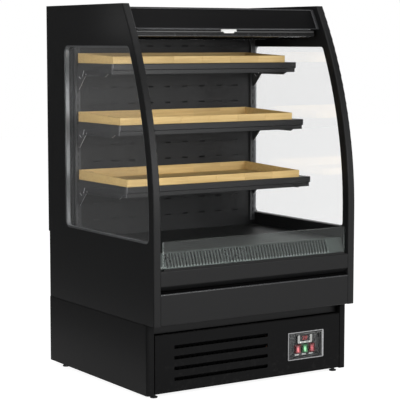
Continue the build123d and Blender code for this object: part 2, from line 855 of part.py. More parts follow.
def bracket(front, top, x):
    """Cranked shelf bracket with hooks at its heel, and the slot and hole for tilting it."""
    under = top - shelf_sheet - seat
    heel = upright_face - seat
    outline = polygon(
        (front + rail_depth + 6, under), (heel, under), (heel, top - bracket_heel),
        (heel - 12, top - bracket_heel), (heel - 68, top - bracket_drop),
        (front + 80, top - bracket_drop), (front + 54, top - shelf_fold + 1),
        (front + rail_depth + 6, top - shelf_fold + 1))
    sharp = [v for v in outline.vertices() if v.Y < top - shelf_fold and v.X < heel - 5]
    outline = fillet(sharp, 9.0)
    tilt = Pos(heel - 50, top - 44) * Rot(0, 0, 115) * SlotOverall(27, 5)
    tilt += Pos(heel - 20, top - 62) * Rot(0, 0, 32) * SlotOverall(20, 4)
    relief = rectangle(pan_rear - shelf_sheet - seat, heel + 1, top - shelf_rear_fold - seat, top)
    outline = outline - tilt - relief - Pos(heel - 75, top - 47) * Circle(3.2)
    for z in hook_heights():
        if top - bracket_heel + 12 < z < top - 12:
            hook = rectangle(heel - 1, heel + seat + sheet + 5, z - 3, z + 6)
            outline += hook
    return along_x(outline, x - bracket_sheet / 2, x + bracket_sheet / 2)


def tray(front, top):
    """Wood-look display tray of five boards, its front scored into equal lengths."""
    d0 = front + rail_depth + seat
    floor = top + tray_floor
    high = top + tray_height
    rear_high = top + tray_rear_height
    base = block(tray_left, tray_right, d0, tray_rear, top, floor)
    rear_board = block(tray_left, tray_right, tray_rear - tray_wall, tray_rear, floor, rear_high)
    front_board = block(tray_left, tray_right, d0, d0 + tray_wall, floor, high)
    pitch = (tray_right - tray_left) / tray_boards
    for i in range(1, tray_boards):
        x = tray_left + i * pitch
        groove = polygon((x - board_groove, d0), (x + board_groove, d0), (x, d0 + board_groove))
        front_board -= along_z(groove, floor, high)
    slope = polygon((d0 + tray_wall, floor), (tray_rear - tray_wall, floor),
                    (tray_rear - tray_wall, rear_high), (d0 + tray_wall, high))
    ends = [along_x(slope, x, x + tray_wall) for x in (tray_left, tray_right - tray_wall)]
    return [base, front_board, rear_board, *ends]


# ------------------------------------------------------------------ canopy and night blind
def canopy_front():
    """Canopy front: a curved sheet parallel to the pillars, with a lip at each edge."""
    high = roof_high + sheet
    outer = swept_line(canopy_low, high, canopy_inset)
    inner = swept_line(canopy_low, high, canopy_inset + sheet)
    ends = [Line((swept(z, canopy_inset), z), (swept(z, canopy_inset + sheet), z))
            for z in (canopy_low, high)]
    section = make_face([e for line in (*outer, *inner, *ends) for e in line.edges()])
    low_front = swept(canopy_low + sheet, canopy_inset)
    high_front = swept(high, canopy_inset) + 1
    section += rectangle(low_front, low_front + canopy_lip, canopy_low, canopy_low + sheet)
    section += rectangle(high_front, high_front + canopy_top_lip, roof_high, high)
    return along_x(section, -liner_half, liner_half)


def air_nozzle():
    """Air-curtain outlet: a grid of cells hung from a tall front wall."""
    half = liner_half - pan_end_gap
    high = nozzle_low + nozzle_height
    grid = block(-half, half, roof_step, nozzle_rear, nozzle_low, high)
    grid += block(-half, half, roof_step, roof_step + nozzle_wall, high, roof_low)
    pitch = (2 * half - nozzle_wall) / nozzle_cells
    row = (nozzle_rear - roof_step - nozzle_wall) / 2
    cells = Sketch()
    for i in range(nozzle_cells):
        for j in range(2):
            x0 = -half + nozzle_wall + i * pitch
            d0 = roof_step + nozzle_wall + j * row
            cells += rectangle(x0, x0 + pitch - nozzle_wall, d0, d0 + row - nozzle_wall)
    return grid - along_z(cells, nozzle_low - 1, high + 1)


def lamp():
    """Light strip under the ceiling sheet, with a rounded diffuser."""
    rear = lamp_front + lamp_depth
    top = ceiling_z - seat
    section = polygon((lamp_front, top), (rear, top), (rear, top - lamp_height + 5),
                      (rear - 8, top - lamp_height), (lamp_front + 4, top - lamp_height))
    return along_x(section, -lamp_half, lamp_half)


def blind_line():
    """Where the cloth leaves the roll, and the unit direction it runs in."""
    roll = roller_radius + seat
    reach_d = roller_d - blind_foot_d
    reach_z = roller_z - riser_top
    distance = math.hypot(reach_d, reach_z)
    turn = math.atan2(reach_z, reach_d) + math.asin(roll / distance)
    run = Vector(-math.cos(turn), -math.sin(turn))
    leave = Vector(roller_d, roller_z) + Vector(-math.sin(turn), math.cos(turn)) * roll
    return leave, run


def along_blind(section, x_half, distance):
    """A section drawn across the cloth, u outwards and v up it, set at a distance down the blind."""
    leave, run = blind_line()
    lean = math.degrees(math.atan2(-run.X, -run.Y))
    place = leave + run * distance
    return along_x(Pos(place.X, place.Y) * Rot(0, 0, -lean) * section, -x_half, x_half)


def blind_roller():
    """Roll of cloth on its tube, with an axle at each end."""
    roll = along_x(Pos(roller_d, roller_z) * Circle(roller_radius), -roller_half, roller_half)
    axle = along_x(Pos(roller_d, roller_z) * Circle(axle_radius), -lug_x - lug_thickness,
                   lug_x + lug_thickness)
    return joined(roll, axle)


def blind_bar():
    half_t = bar_thickness / 2
    half_h = bar_height / 2
    section = rectangle(-half_t, half_t, -half_h, half_h, 5.0)
    return along_blind(section, bar_half, bar_drop)


def blind_web():
    length = bar_drop - bar_height / 2 - seat
    section = rectangle(-web_thickness, 0, -length / 2, length / 2)
    return along_blind(section, web_half, length / 2)


def blind_handle():
    """Pull tab on the front of the bar: a wide head and a narrower tongue below it."""
    leave, run = blind_line()
    half_t = bar_thickness / 2
    face = -half_t - seat / 3
    section = rectangle(face - handle_thickness, face, -handle_height / 2, handle_height / 2, 1.5)
    tab = along_blind(section, handle_top / 2, bar_drop - bar_height / 2 + handle_height / 2)
    place = leave + run * (bar_drop - bar_height / 2)
    low = place.Y - handle_height - 2
    for side in (-1, 1):
        cut = polygon((side * handle_bottom / 2, low), (side * handle_top, low),
                      (side * handle_top, place.Y - handle_head + 2),
                      (side * (handle_bottom / 2 + 4), place.Y - handle_head))
        tab -= along_y(cut, place.X - 30, place.X + 30)
    return tab


# ------------------------------------------------------------------ refrigeration
def fin_block(x0, x1, d0, d1, z0, z1):
    """Finned coil: a core with plate fins round it, and return bends at both ends."""
    core = block(x0, x1, d0 + fin_margin, d1 - fin_margin, z0 + fin_margin, z1 - fin_margin)
    count = int((x1 - x0 - fin_thickness) // fin_pitch)
    step = (x1 - x0 - fin_thickness) / count
    fins = [block(x0 + i * step, x0 + i * step + fin_thickness, d0, d1, z0, z1)
            for i in range(count + 1)]
    coil = joined(core, *fins)
    rows = int((z1 - z0 - 2 * fin_margin) // (6 * tube_radius))
    middle = (d0 + d1) / 2
    bend_radius = 2 * tube_radius
    for i in range(rows):
        z = z0 + (z1 - z0) * (i + 0.5) / rows
        for x, sign in ((x0, -1), (x1, 1)):
            start = Plane.YZ * Pos(-bend_radius, 0) * Circle(tube_radius)
            arc = revolve(start, Axis.Z, 180 * sign)
            coil += Pos(x, middle - depth / 2, z) * arc
    return coil


def axial_fan(radius, hub_radius, hub_length):
    """Five twisted blades on a hub, turning about Y, hub face at the origin."""
    hub = extrude(Plane.XZ * Circle(hub_radius), hub_length, dir=(0, 1, 0))
    fan = fillet(hub.edges().group_by(Axis.Y)[-1], 3.0)
    chord = radius * 0.62
    for i in range(5):
        root = Plane.XY.offset(hub_radius - 3) * Rot(0, 0, 32) * Rectangle(chord * 0.7, 2.4)
        tip = Plane.XY.offset(radius) * Rot(0, 0, 15) * Rectangle(chord, 1.8)
        blade = Pos(0, hub_length / 2, 0) * loft([root, tip], ruled=True)
        fan += Rot(0, i * 72, 0) * blade
    bore = extrude(Plane.XZ * Circle(shaft_radius + running), shaft_length - fan_standoff + 1,
                   dir=(0, 1, 0))
    return fan - bore


def fan_motor(hole_radius, arm_depth):
    """Motor with three arms that reach over the fan's hole; its arms end at the origin plane."""
    motor = extrude(Plane.XZ * Circle(hole_radius * 0.36), motor_length, dir=(0, -1, 0))
    motor = fillet(motor.edges().group_by(Axis.Y)[0], 3.0)
    shaft = extrude(Plane.XZ * Circle(shaft_radius), shaft_length, dir=(0, 1, 0))
    motor += shaft
    for i in range(3):
        arm = Pos(0, -arm_depth / 2, hole_radius / 2 + 4) * Box(9, arm_depth, hole_radius + 8)
        motor += Rot(0, i * 120, 0) * arm
    return motor


def condenser():
    """Finned coil with a cowl behind it and the fan's motor on its arms."""
    x0, x1, d0, d1, z0, z1 = condenser_box
    coil = fin_block(*condenser_box)
    hole = condenser_fan_radius + 6
    middle = ((x0 + x1) / 2, (z0 + z1) / 2)
    outer = rectangle(x0, x1, z0, z1)
    cowl = along_y(outer, d1, d1 + cowl_depth)
    cowl -= along_y(rectangle(x0 + sheet, x1 - sheet, z0 + sheet, z1 - sheet), d1,
                    d1 + cowl_depth - sheet)
    cowl -= along_y(Pos(*middle) * Circle(hole), d1, d1 + cowl_depth + 1)
    motor = Rot(0, 0, 180) * fan_motor(hole, 5)
    motor = Pos(middle[0], d1 + cowl_depth - depth / 2, middle[1]) * motor
    stand = block(x0, x1, d0 + fin_margin, d0 + fin_margin + 20, base_bottom + sheet, z0 + fin_margin)
    return joined(coil, cowl, motor, stand)


def condenser_fan():
    x0, x1, d0, d1, z0, z1 = condenser_box
    fan = Rot(0, 0, 180) * axial_fan(condenser_fan_radius, 26, 16)
    place = ((x0 + x1) / 2, d1 + cowl_depth - fan_standoff - depth / 2, (z0 + z1) / 2)
    return Pos(*place) * fan


def fan_plate():
    """Plate across the well with the two evaporator fan motors on their arms."""
    floor = base_top + tub_floor
    half = liner_half - seat
    points = [(fan_plate_d, floor), (fan_plate_d, fan_plate_top),
              (fan_plate_d - 20, fan_plate_top)]
    section = folded([(p[0], p[1]) for p in points], sheet)
    plate = along_x(section, -half, half)
    hole = evaporator_fan_radius + 5
    for side in (-1, 1):
        x = side * evaporator_fan_x
        plate -= along_y(Pos(x, evaporator_fan_z) * Circle(hole), fan_plate_d - 4,
                         fan_plate_d + 4)
    for side in (-1, 1):
        place = (side * evaporator_fan_x, fan_plate_d - sheet - depth / 2, evaporator_fan_z)
        plate += Pos(*place) * fan_motor(hole, 5)
    return plate


def evaporator_fan(side):
    fan = axial_fan(evaporator_fan_radius, 22, 15)
    place = (side * evaporator_fan_x, fan_plate_d - sheet + fan_standoff - depth / 2,
             evaporator_fan_z)
    return Pos(*place) * fan


def compressor():
    """Hermetic compressor: a domed shell on a plate with four rubber feet."""
    low = base_bottom + sheet
    r = compressor_radius
    top = low + compressor_height
    outline = polygon((0, low + 22), (r - 18, low + 22), (r, low + 45), (r, top - 20), (0, top))
    outline = fillet([v for v in outline.vertices() if v.X > r - 1], 30.0)
    shell = revolve(Plane.XZ * outline, Axis.Z)
    plate = extrude(Pos(0, 0, low + 16) * RectangleRounded(2.1 * r, 1.7 * r, 12), 7, dir=(0, 0, 1))
    body = joined(shell, plate)
    for x in (-0.85 * r, 0.85 * r):
        for y in (-0.65 * r, 0.65 * r):
            body += extrude(Pos(x, y, low) * Circle(11), 17, dir=(0, 0, 1))
    x, d = compressor_at
    return Pos(x, d - depth / 2, 0) * body


def pipe(points, bend):
    path = FilletPolyline(*[(x, d - depth / 2, z) for x, d, z in points], radius=bend)
    start = Plane(origin=path @ 0, z_dir=path % 0)
    return sweep(start * Circle(pipe_radius), path=path)


def refrigerant_pipes():
    """Discharge pipe to the condenser and suction pipe down from the well."""
    cx, cd = compressor_at
    x1, z1 = condenser_box[1], condenser_box[5]
    coil_d = (condenser_box[2] + condenser_box[3]) / 2
    entry = z1 - pipe_entry_drop
    riser = x1 + pipe_side_gap
    discharge = pipe([(cx + compressor_radius + seat, cd, discharge_z), (riser, cd, discharge_z),
                      (riser, coil_d, discharge_z), (riser, coil_d, entry),
                      (x1 + seat, coil_d, entry)], pipe_bend)
    left = cx - compressor_radius - pipe_side_gap
    suction = pipe([(cx - compressor_radius - seat, cd, suction_z), (left, cd, suction_z),
                    (left, cd + compressor_radius, suction_z),
                    (left, cd + compressor_radius, base_top - seat)], pipe_bend)
    return [discharge, suction]


def electrics_box():
    """Electrics box on the pan, and the cable gland that goes through the rear grille."""
    low = base_bottom + sheet
    back = base_rear - electrics_rear_gap
    box = block(electrics_right - electrics_width, electrics_right, back - electrics_depth, back,
                low, low + electrics_height)
    box = fillet(box.edges().filter_by(Axis.Z), 6.0)
    rear = base_rear + 2
    barrel = Pos(*gland_at) * Circle(gland_bore + gland_wall)
    flange = Pos(*gland_at) * RegularPolygon(gland_bore + gland_wall + 5, 6)
    bore = Pos(*gland_at) * Circle(gland_bore)
    face = base_rear - sheet + louvre_sheet
    gland = along_y(barrel, rear - gland_length, rear)
    gland += along_y(flange, face, rear)
    gland += along_y(flange, base_rear - sheet - 6, base_rear - sheet)
    return [box, gland - along_y(bore, rear - gland_length, rear)]


def screws():
    """Pan heads on the back wall, the rear grille and the louvre panel's foot."""
    places = []
    reach = liner_half - screw_inset
    for x in (-reach, -reach / 2, 0, reach / 2, reach):
        for z in (base_top + tub_floor + screw_inset, roof_low - screw_inset):
            places.append((x, z, foam_rear))
    reach = base_half - rear_flange - screw_inset / 2
    face = base_rear - sheet + louvre_sheet
    for x in (-reach, reach):
        for z in (louvre_low + screw_inset / 2, base_top - base_shadow_gap - screw_inset / 2):
            places.append((x, z, face))
    heads = []
    for x, z, d in places:
        head = along_y(Pos(x, z) * Circle(screw_radius), d, d + screw_head)
        heads.append(chamfer(head.edges().group_by(Axis.Y)[-1], 1.2))
    return heads


# ------------------------------------------------------------------ write the parts
def save_pair(name, shape):
    save(f"{name}_right", shape)
    save(f"{name}_left", other_hand(shape))


def main():
    save_pair("lower_end", lower_end())
    save_pair("upper_end", upper_end())
    save_pair("base_side", base_side())
    panes, band = glass_unit()
    save("window_right", *panes)
    save("window_left", *[other_hand(p) for p in panes])
    save("window_spacers", band, other_hand(band))

    save("base_frame", base_frame())
    names = ("foot_front_left", "foot_front_right", "foot_rear_left", "foot_rear_right")
    for name, (x, d) in zip(names, foot_places()):
        save(name, foot(x, d))
    save("louvre_panel", louvre_panel())
    save("rear_grille", rear_grille())
    save("control_frame", control_frame())
    save("control_cover", control_cover())
    save("controller", controller())
    for name, (x, z) in zip(("down_button", "set_button", "up_button"), button_places()):
        save(name, button(x, z))
    for name, x in zip(("power_switch", "light_switch", "defrost_switch"), switch_x):
        save(name, rocker(x))

    save("tub", tub())
    save("back_wall", back_wall())
    save("roof", roof())
    save("front_panel", front_panel())
    save("front_rail", front_rail())
    save("riser_glass", riser_glass())
    save("air_grille", air_grille())
    save("deck_pans", *deck_pans())

    save("inner_back_panel", inner_back_panel())
    save("uprights", *uprights())
    rails = []
    brackets = []
    for name, front in shelf_fronts.items():
        top = shelf_levels[name]
        save(f"shelf_{name}", shelf(front, top))
        save(f"tray_{name}", *tray(front, top))
        rails.append(price_rail(front, top))
        brackets += [bracket(front, top, side * bracket_x) for side in (-1, 1)]
    save("price_rails", *rails)
    save("shelf_brackets", *brackets)

    save("canopy_front", canopy_front())
    save("air_nozzle", air_nozzle())
    save("lamp", lamp())
    save("blind_roller", blind_roller())
    save("blind_bar", blind_bar())
    save("blind_web", blind_web())
    save("blind_handle", blind_handle())

    save("evaporator", fin_block(*evaporator_box))
    save("fan_plate", fan_plate())
    save("evaporator_fan_left", evaporator_fan(-1))
    save("evaporator_fan_right", evaporator_fan(1))
    save("condenser", condenser())
    save("condenser_fan", condenser_fan())
    save("compressor", compressor())
    save("refrigerant_pipes", *refrigerant_pipes())
    save("electrics_box", *electrics_box())
    save("screws", *screws())


main()
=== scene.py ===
import math

import bmesh
import bpy
from mathutils import Matrix, Vector


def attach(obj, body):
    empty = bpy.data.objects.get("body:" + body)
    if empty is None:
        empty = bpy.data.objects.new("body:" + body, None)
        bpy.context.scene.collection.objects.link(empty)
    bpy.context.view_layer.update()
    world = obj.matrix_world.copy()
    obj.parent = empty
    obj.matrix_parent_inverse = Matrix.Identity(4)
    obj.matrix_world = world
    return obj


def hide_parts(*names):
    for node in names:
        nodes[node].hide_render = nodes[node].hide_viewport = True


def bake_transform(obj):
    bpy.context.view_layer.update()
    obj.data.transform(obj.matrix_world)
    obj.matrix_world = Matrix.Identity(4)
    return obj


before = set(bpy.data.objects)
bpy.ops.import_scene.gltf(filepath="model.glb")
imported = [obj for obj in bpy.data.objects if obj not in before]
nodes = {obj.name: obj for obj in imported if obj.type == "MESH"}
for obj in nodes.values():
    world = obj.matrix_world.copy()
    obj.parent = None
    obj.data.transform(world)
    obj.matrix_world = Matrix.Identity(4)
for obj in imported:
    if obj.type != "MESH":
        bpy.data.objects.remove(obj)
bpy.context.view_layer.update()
print("frame loaded,", len(nodes), "nodes")

halfDepth = 0.445  # the fridge is 890 mm deep, and depths below are counted from the pillar fronts


# y of a point that lies this far behind the pillar fronts
def back(depth):
    return depth - halfDepth


# helpers for nodes: a value is a number, a colour, or another node's output, and is set or linked
def feed(tree, socket, value):
    if isinstance(value, (int, float)):
        socket.default_value = value
    elif isinstance(value, tuple):
        socket.default_value = value if len(value) == 4 else value + (1,)
    else:
        tree.links.new(value, socket)


def fill(tree, node, values):
    for label, value in values.items():
        feed(tree, node.inputs[label], value)


def addNode(tree, kind, values):
    node = tree.nodes.new(kind)
    fill(tree, node, values)
    return node


def operate(tree, kind, operation, values):
    node = tree.nodes.new(kind)
    node.operation = operation
    fill(tree, node, values)
    return node.outputs


def mathNode(tree, operation, *values):
    return operate(tree, "ShaderNodeMath", operation, dict(enumerate(values)))[0]


def vectorNode(tree, operation, values):
    return operate(tree, "ShaderNodeVectorMath", operation, values)


def noiseNode(tree, vector, scale, detail, roughness=0.5):
    return addNode(tree, "ShaderNodeTexNoise", {"Vector": vector, "Scale": scale, "Detail": detail,
                                                "Roughness": roughness}).outputs["Fac"]


# carries a value from one pair of limits over to another
def rangeNode(tree, value, fromPair, toPair):
    return addNode(tree, "ShaderNodeMapRange", {
        "Value": value, "From Min": fromPair[0], "From Max": fromPair[1], "To Min": toPair[0],
        "To Max": toPair[1]}).outputs[0]


def mixColours(tree, factor, first, second, blend="MIX"):
    node = tree.nodes.new("ShaderNodeMix")
    node.data_type = "RGBA"
    node.blend_type = blend
    fill(tree, node, {0: factor, 6: first, 7: second})
    return node.outputs[2]


def mixShaders(tree, factor, first, second):
    return addNode(tree, "ShaderNodeMixShader", {0: factor, 1: first, 2: second}).outputs[0]


def objectVector(tree, scale=None, offset=(0, 0, 0)):
    coords = tree.nodes.new("ShaderNodeTexCoord").outputs["Object"]
    if scale is None:
        return coords
    mapping = addNode(tree, "ShaderNodeMapping", {"Vector": coords})
    mapping.inputs["Scale"].default_value = scale
    mapping.inputs["Location"].default_value = offset
    return mapping.outputs[0]


def separate(tree, vector):
    return addNode(tree, "ShaderNodeSeparateXYZ", {0: vector}).outputs


def newMaterial(name):
    material = bpy.data.materials.new(name)
    material.use_nodes = True
    tree = material.node_tree
    return material, tree, tree.nodes["Principled BSDF"]


# helpers for objects
def linkObject(name, data):
    made = bpy.data.objects.new(name, data)
    bpy.context.scene.collection.objects.link(made)
    return made


def meshObject(name, bm, finishList):
    mesh = bpy.data.meshes.new(name)
    bm.to_mesh(mesh)
    bm.free()
    for finish in finishList:
        mesh.materials.append(finish)
    return linkObject(name, mesh)


def flatSheet(name, size, material):
    bm = bmesh.new()
    bmesh.ops.create_grid(bm, x_segments=1, y_segments=1, size=0.5)
    bmesh.ops.scale(bm, vec=(*size, 1), verts=bm.verts)
    return meshObject(name, bm, [material])


def aimAt(made, values):
    made.location = values["place"]
    aim = Vector(values["aim"]) - Vector(values["place"])
    made.rotation_euler = aim.to_track_quat("-Z", "Y").to_euler()


# camera, world, lamps and floor
view = {
    "place": (-3.45223, -5.33178, 1.41916),
    "turn": -32.95,  # degrees, to the right of straight ahead
    "dip": 6.14,  # degrees below level
    "lens": 133.17,
    "sensor": 36.0,
    "reach": 80.0,
}
studio = {
    "white": 1.0,  # background as it is seen
    "ambient": 0.30,  # background as it lights the fridge
    "floorSize": 28.0,
    "floorDrop": 0.0005,
    "floorPale": 0.55,
    "floorShade": 0.40,
    "floorWhite": 0.90,
    "cardTone": 0.02,
    "cards": {
        "leftCard": {"place": (-0.90, 2.2, 1.28), "aim": (0, 2.2, 1.28), "size": (6.5, 2.6)},
        "highCard": {"place": (2.3, -2.7, 3.0), "aim": (0.3, -0.2, 1.5), "size": (3.2, 2.2)},
    },
    "lamps": {
        "keySoftbox": {"place": (1.4, -4.6, 1.9), "aim": (0.1, 0, 0.9), "size": 2.2, "power": 130.0},
        "topSoftbox": {"place": (0.2, -1.0, 4.2), "aim": (0, 0, 0.9), "size": 2.6, "power": 12.0},
        "sideFill": {"place": (-4.2, -2.4, 1.5), "aim": (0, 0, 0.9), "size": 1.6, "power": 88.0},
        "backFill": {"place": (1.5, 4.0, 2.4), "aim": (0, 0, 0.8), "size": 2.5, "power": 30.0},
        "panelGlow": {"place": (-0.86, 0.29, 1.51), "aim": (-0.5, -0.33, 1.45), "size": 0.15,
                      "power": 0.125},
        "canopyGlow": {"place": (0.45, -1.08, 2.57), "aim": (-0.38, -0.25, 1.5), "size": 0.3,
                       "power": 1.3},
    },
}


def makeCamera(values):
    data = bpy.data.cameras.new("photoCamera")
    data.sensor_width = values["sensor"]
    data.lens = values["lens"]
    data.clip_end = values["reach"]
    camera = linkObject("photoCamera", data)
    camera.location = values["place"]
    camera.rotation_euler = (math.radians(90 - values["dip"]), 0, math.radians(values["turn"]))
    bpy.context.scene.camera = camera


# 1 for rays from the camera, through glass or off a shiny surface, all of which see white
def seenMask(tree):
    path = tree.nodes.new("ShaderNodeLightPath").outputs
    looked = mathNode(tree, "MAXIMUM", path["Is Camera Ray"], path["Is Transmission Ray"])
    return mathNode(tree, "MAXIMUM", looked, path["Is Glossy Ray"])


def makeWorld(values):
    world = bpy.data.worlds.new("studioWorld")
    world.use_nodes = True
    tree = world.node_tree
    tree.nodes.clear()
    unseen, seen = [addNode(tree, "ShaderNodeBackground", {"Color": (1, 1, 1), "Strength": values[label]})
                    for label in ("ambient", "white")]
    mix = mixShaders(tree, seenMask(tree), unseen.outputs[0], seen.outputs[0])
    addNode(tree, "ShaderNodeOutputWorld", {"Surface": mix})
    bpy.context.scene.world = world


def makeLamp(name, values):
    data = bpy.data.lights.new(name, "AREA")
    data.shape = "SQUARE"
    data.size = values["size"]
    data.energy = values["power"]
    lamp = linkObject(name, data)
    aimAt(lamp, values)
    lamp.visible_camera = False
    lamp.visible_transmission = False


# pale to the object, and near white with the object's shadow to whatever looks at it
def makeFloor(values):
    material = bpy.data.materials.new("studioFloor")
    material.use_nodes = True
    tree = material.node_tree
    tree.nodes.clear()
    shaded, pale = [addNode(tree, "ShaderNodeBsdfDiffuse", {"Color": (values[label],) * 3}).outputs[0]
                    for label in ("floorShade", "floorPale")]
    glow = addNode(tree, "ShaderNodeEmission", {"Strength": values["floorWhite"]}).outputs[0]
    seen = addNode(tree, "ShaderNodeAddShader", {0: shaded, 1: glow}).outputs[0]
    addNode(tree, "ShaderNodeOutputMaterial", {"Surface": mixShaders(tree, seenMask(tree), pale, seen)})
    floor = flatSheet("floor", (values["floorSize"],) * 2, material)
    floor.location.z = -values["floorDrop"]


# dark card beside the fridge, as in a product studio: only shiny surfaces and glass see it
def makeCard(name, values, tone):
    material, tree, shader = newMaterial(name)
    fill(tree, shader, {"Base Color": (tone,) * 3})
    card = flatSheet(name, values["size"], material)
    aimAt(card, values)
    card.visible_camera = False
    card.visible_shadow = False
    card.visible_diffuse = False


bpy.context.scene.view_settings.view_transform = "Standard"
makeCamera(view)
makeWorld(studio)
for lampName, lampValues in studio["lamps"].items():
    makeLamp(lampName, lampValues)
makeFloor(studio)
for cardName, cardValues in studio["cards"].items():
    makeCard(cardName, cardValues, studio["cardTone"])
print("studio ready")


# shared effects, each a node group
def newGroup(name, inputs, outputs):
    group = bpy.data.node_groups.new(name, "ShaderNodeTree")
    for label, value in inputs.items():
        kind = "NodeSocketColor" if label == "Colour" else "NodeSocketFloat"
        group.interface.new_socket(label, in_out="INPUT", socket_type=kind).default_value = value
    for label in outputs:
        kind = "NodeSocketColor" if label == "Colour" else "NodeSocketFloat"
        group.interface.new_socket(label, in_out="OUTPUT", socket_type=kind)
    return group, group.nodes.new("NodeGroupInput").outputs, group.nodes.new("NodeGroupOutput")


# sprayed or moulded surface: cloudy tone, fine peel, and scuffs near the floor
coatLook = {"scuffColour": (0.16, 0.155, 0.15), "scuffHeight": 0.22, "roughSwing": 0.14}


def makeCoatGroup(values):
    group, entry, out = newGroup(
        "coatSkin", {"Colour": (0.05, 0.05, 0.05, 1), "Mottle": 0.1, "Grain": 700.0, "Polish": 0.4,
                     "Scuff": 0.1}, ("Colour", "Roughness", "Height"))
    place = objectVector(group)
    cloud = noiseNode(group, place, scale=3.5, detail=4.0, roughness=0.6)
    fine = noiseNode(group, place, scale=60.0, detail=3.0, roughness=0.6)
    peel = noiseNode(group, place, scale=entry["Grain"], detail=2.0)
    swing = mathNode(group, "SUBTRACT", cloud, 0.5)
    tone = mathNode(group, "MULTIPLY_ADD", swing, entry["Mottle"], 1.0)
    toned = mixColours(group, 1.0, entry["Colour"], tone, "MULTIPLY")
    low = rangeNode(group, separate(group, place)[2], (0.0, values["scuffHeight"]), (1.0, 0.0))
    marks = rangeNode(group, fine, (0.56, 0.70), (0.0, 1.0))
    scuff = mathNode(group, "MULTIPLY", mathNode(group, "MULTIPLY", low, marks), entry["Scuff"])
    spread = mathNode(group, "SUBTRACT", fine, 0.5)
    rough = mathNode(group, "MULTIPLY_ADD", spread, values["roughSwing"], entry["Polish"])
    fill(group, out, {"Colour": mixColours(group, scuff, toned, values["scuffColour"]),
                      "Roughness": mathNode(group, "ADD", rough, scuff), "Height": peel})
    return group


# thin, patchy dust on faces that look up
dustLook = {"colour": (0.33, 0.32, 0.30), "roughening": 0.5}


def makeDustGroup(values):
    group, entry, out = newGroup(
        "settledDust", {"Colour": (0.05, 0.05, 0.05, 1), "Roughness": 0.4, "Amount": 0.1},
        ("Colour", "Roughness"))
    normal = group.nodes.new("ShaderNodeNewGeometry").outputs["Normal"]
    facing = rangeNode(group, separate(group, normal)[2], (0.55, 1.0), (0.0, 1.0))
    cloud = noiseNode(group, objectVector(group), scale=18.0, detail=5.0, roughness=0.65)
    patch = rangeNode(group, cloud, (0.35, 0.75), (0.3, 1.0))
    amount = mathNode(group, "MULTIPLY", mathNode(group, "MULTIPLY", facing, patch), entry["Amount"])
    rough = mathNode(group, "MULTIPLY_ADD", amount, values["roughening"], entry["Roughness"])
    fill(group, out, {"Colour": mixColours(group, amount, entry["Colour"], values["colour"]),
                      "Roughness": rough})
    return group


# bare metal, whose tone, roughness and height all follow one pattern
def makeMetalGroup(name, pattern, roughSwing):
    group, entry, out = newGroup(name, {"Colour": (0.5, 0.5, 0.5, 1), "Contrast": 0.2, "Polish": 0.4},
                                 ("Colour", "Roughness", "Height"))
    height = pattern(group)
    swing = mathNode(group, "SUBTRACT", height, 0.5)
    tone = mathNode(group, "MULTIPLY_ADD", swing, entry["Contrast"], 1.0)
    fill(group, out, {"Colour": mixColours(group, 1.0, entry["Colour"], tone, "MULTIPLY"),
                      "Roughness": mathNode(group, "MULTIPLY_ADD", swing, roughSwing, entry["Polish"]),
                      "Height": height})
    return group


# fine drawn lines along X
def drawnLines(group):
    lines = objectVector(group, scale=(3.0, 420.0, 420.0))
    return noiseNode(group, lines, scale=1.0, detail=4.0, roughness=0.7)


# crystal patches of zinc-coated sheet
def zincSpangle(group):
    warp = noiseNode(group, objectVector(group), scale=40.0, detail=2.0)
    shift = vectorNode(group, "SCALE", {0: warp, "Scale": 0.006})[0]
    place = vectorNode(group, "ADD", {0: objectVector(group), 1: shift})[0]
    cells = addNode(group, "ShaderNodeTexVoronoi", {"Vector": place, "Scale": 110.0})
    return addNode(group, "ShaderNodeRGBToBW", {0: cells.outputs["Color"]}).outputs[0]


coatGroup = makeCoatGroup(coatLook)
dustGroup = makeDustGroup(dustLook)
brushGroup = makeMetalGroup("drawnLines", drawnLines, 0.25)
spangleGroup = makeMetalGroup("zincSpangle", zincSpangle, 0.2)
print("effect groups ready")


# materials
def placeGroup(tree, group, values):
    node = tree.nodes.new("ShaderNodeGroup")
    node.node_tree = group
    fill(tree, node, values)
    return node.outputs


def addBump(tree, shader, height, strength, distance):
    bump = addNode(tree, "ShaderNodeBump", {"Strength": strength, "Distance": distance, "Height": height})
    feed(tree, shader.inputs["Normal"], bump.outputs[0])


# paint or plastic: the coat group, dust where asked, and a fine bump
def coated(name, colour, polish, grain, mottle, scuff, dust, gloss, metal=0.0):
    material, tree, shader = newMaterial(name)
    skin = placeGroup(tree, coatGroup, {"Colour": colour, "Mottle": mottle, "Grain": grain,
                                        "Polish": polish, "Scuff": scuff})
    surface = {"Colour": skin["Colour"], "Roughness": skin["Roughness"]}
    if dust:
        surface = placeGroup(tree, dustGroup, {**surface, "Amount": dust})
    fill(tree, shader, {"Base Color": surface["Colour"], "Roughness": surface["Roughness"],
                        "Specular IOR Level": gloss, "Metallic": metal})
    addBump(tree, shader, skin["Height"], strength=0.12, distance=0.0004)
    return material


# bare sheet, tube or fins, with drawn lines or spangle
def metalSheet(name, colour, group, contrast, polish):
    material, tree, shader = newMaterial(name)
    skin = placeGroup(tree, group, {"Colour": colour, "Contrast": contrast, "Polish": polish})
    fill(tree, shader, {"Base Color": skin["Colour"], "Roughness": skin["Roughness"], "Metallic": 1.0})
    addBump(tree, shader, skin["Height"], strength=0.06, distance=0.0003)
    return material


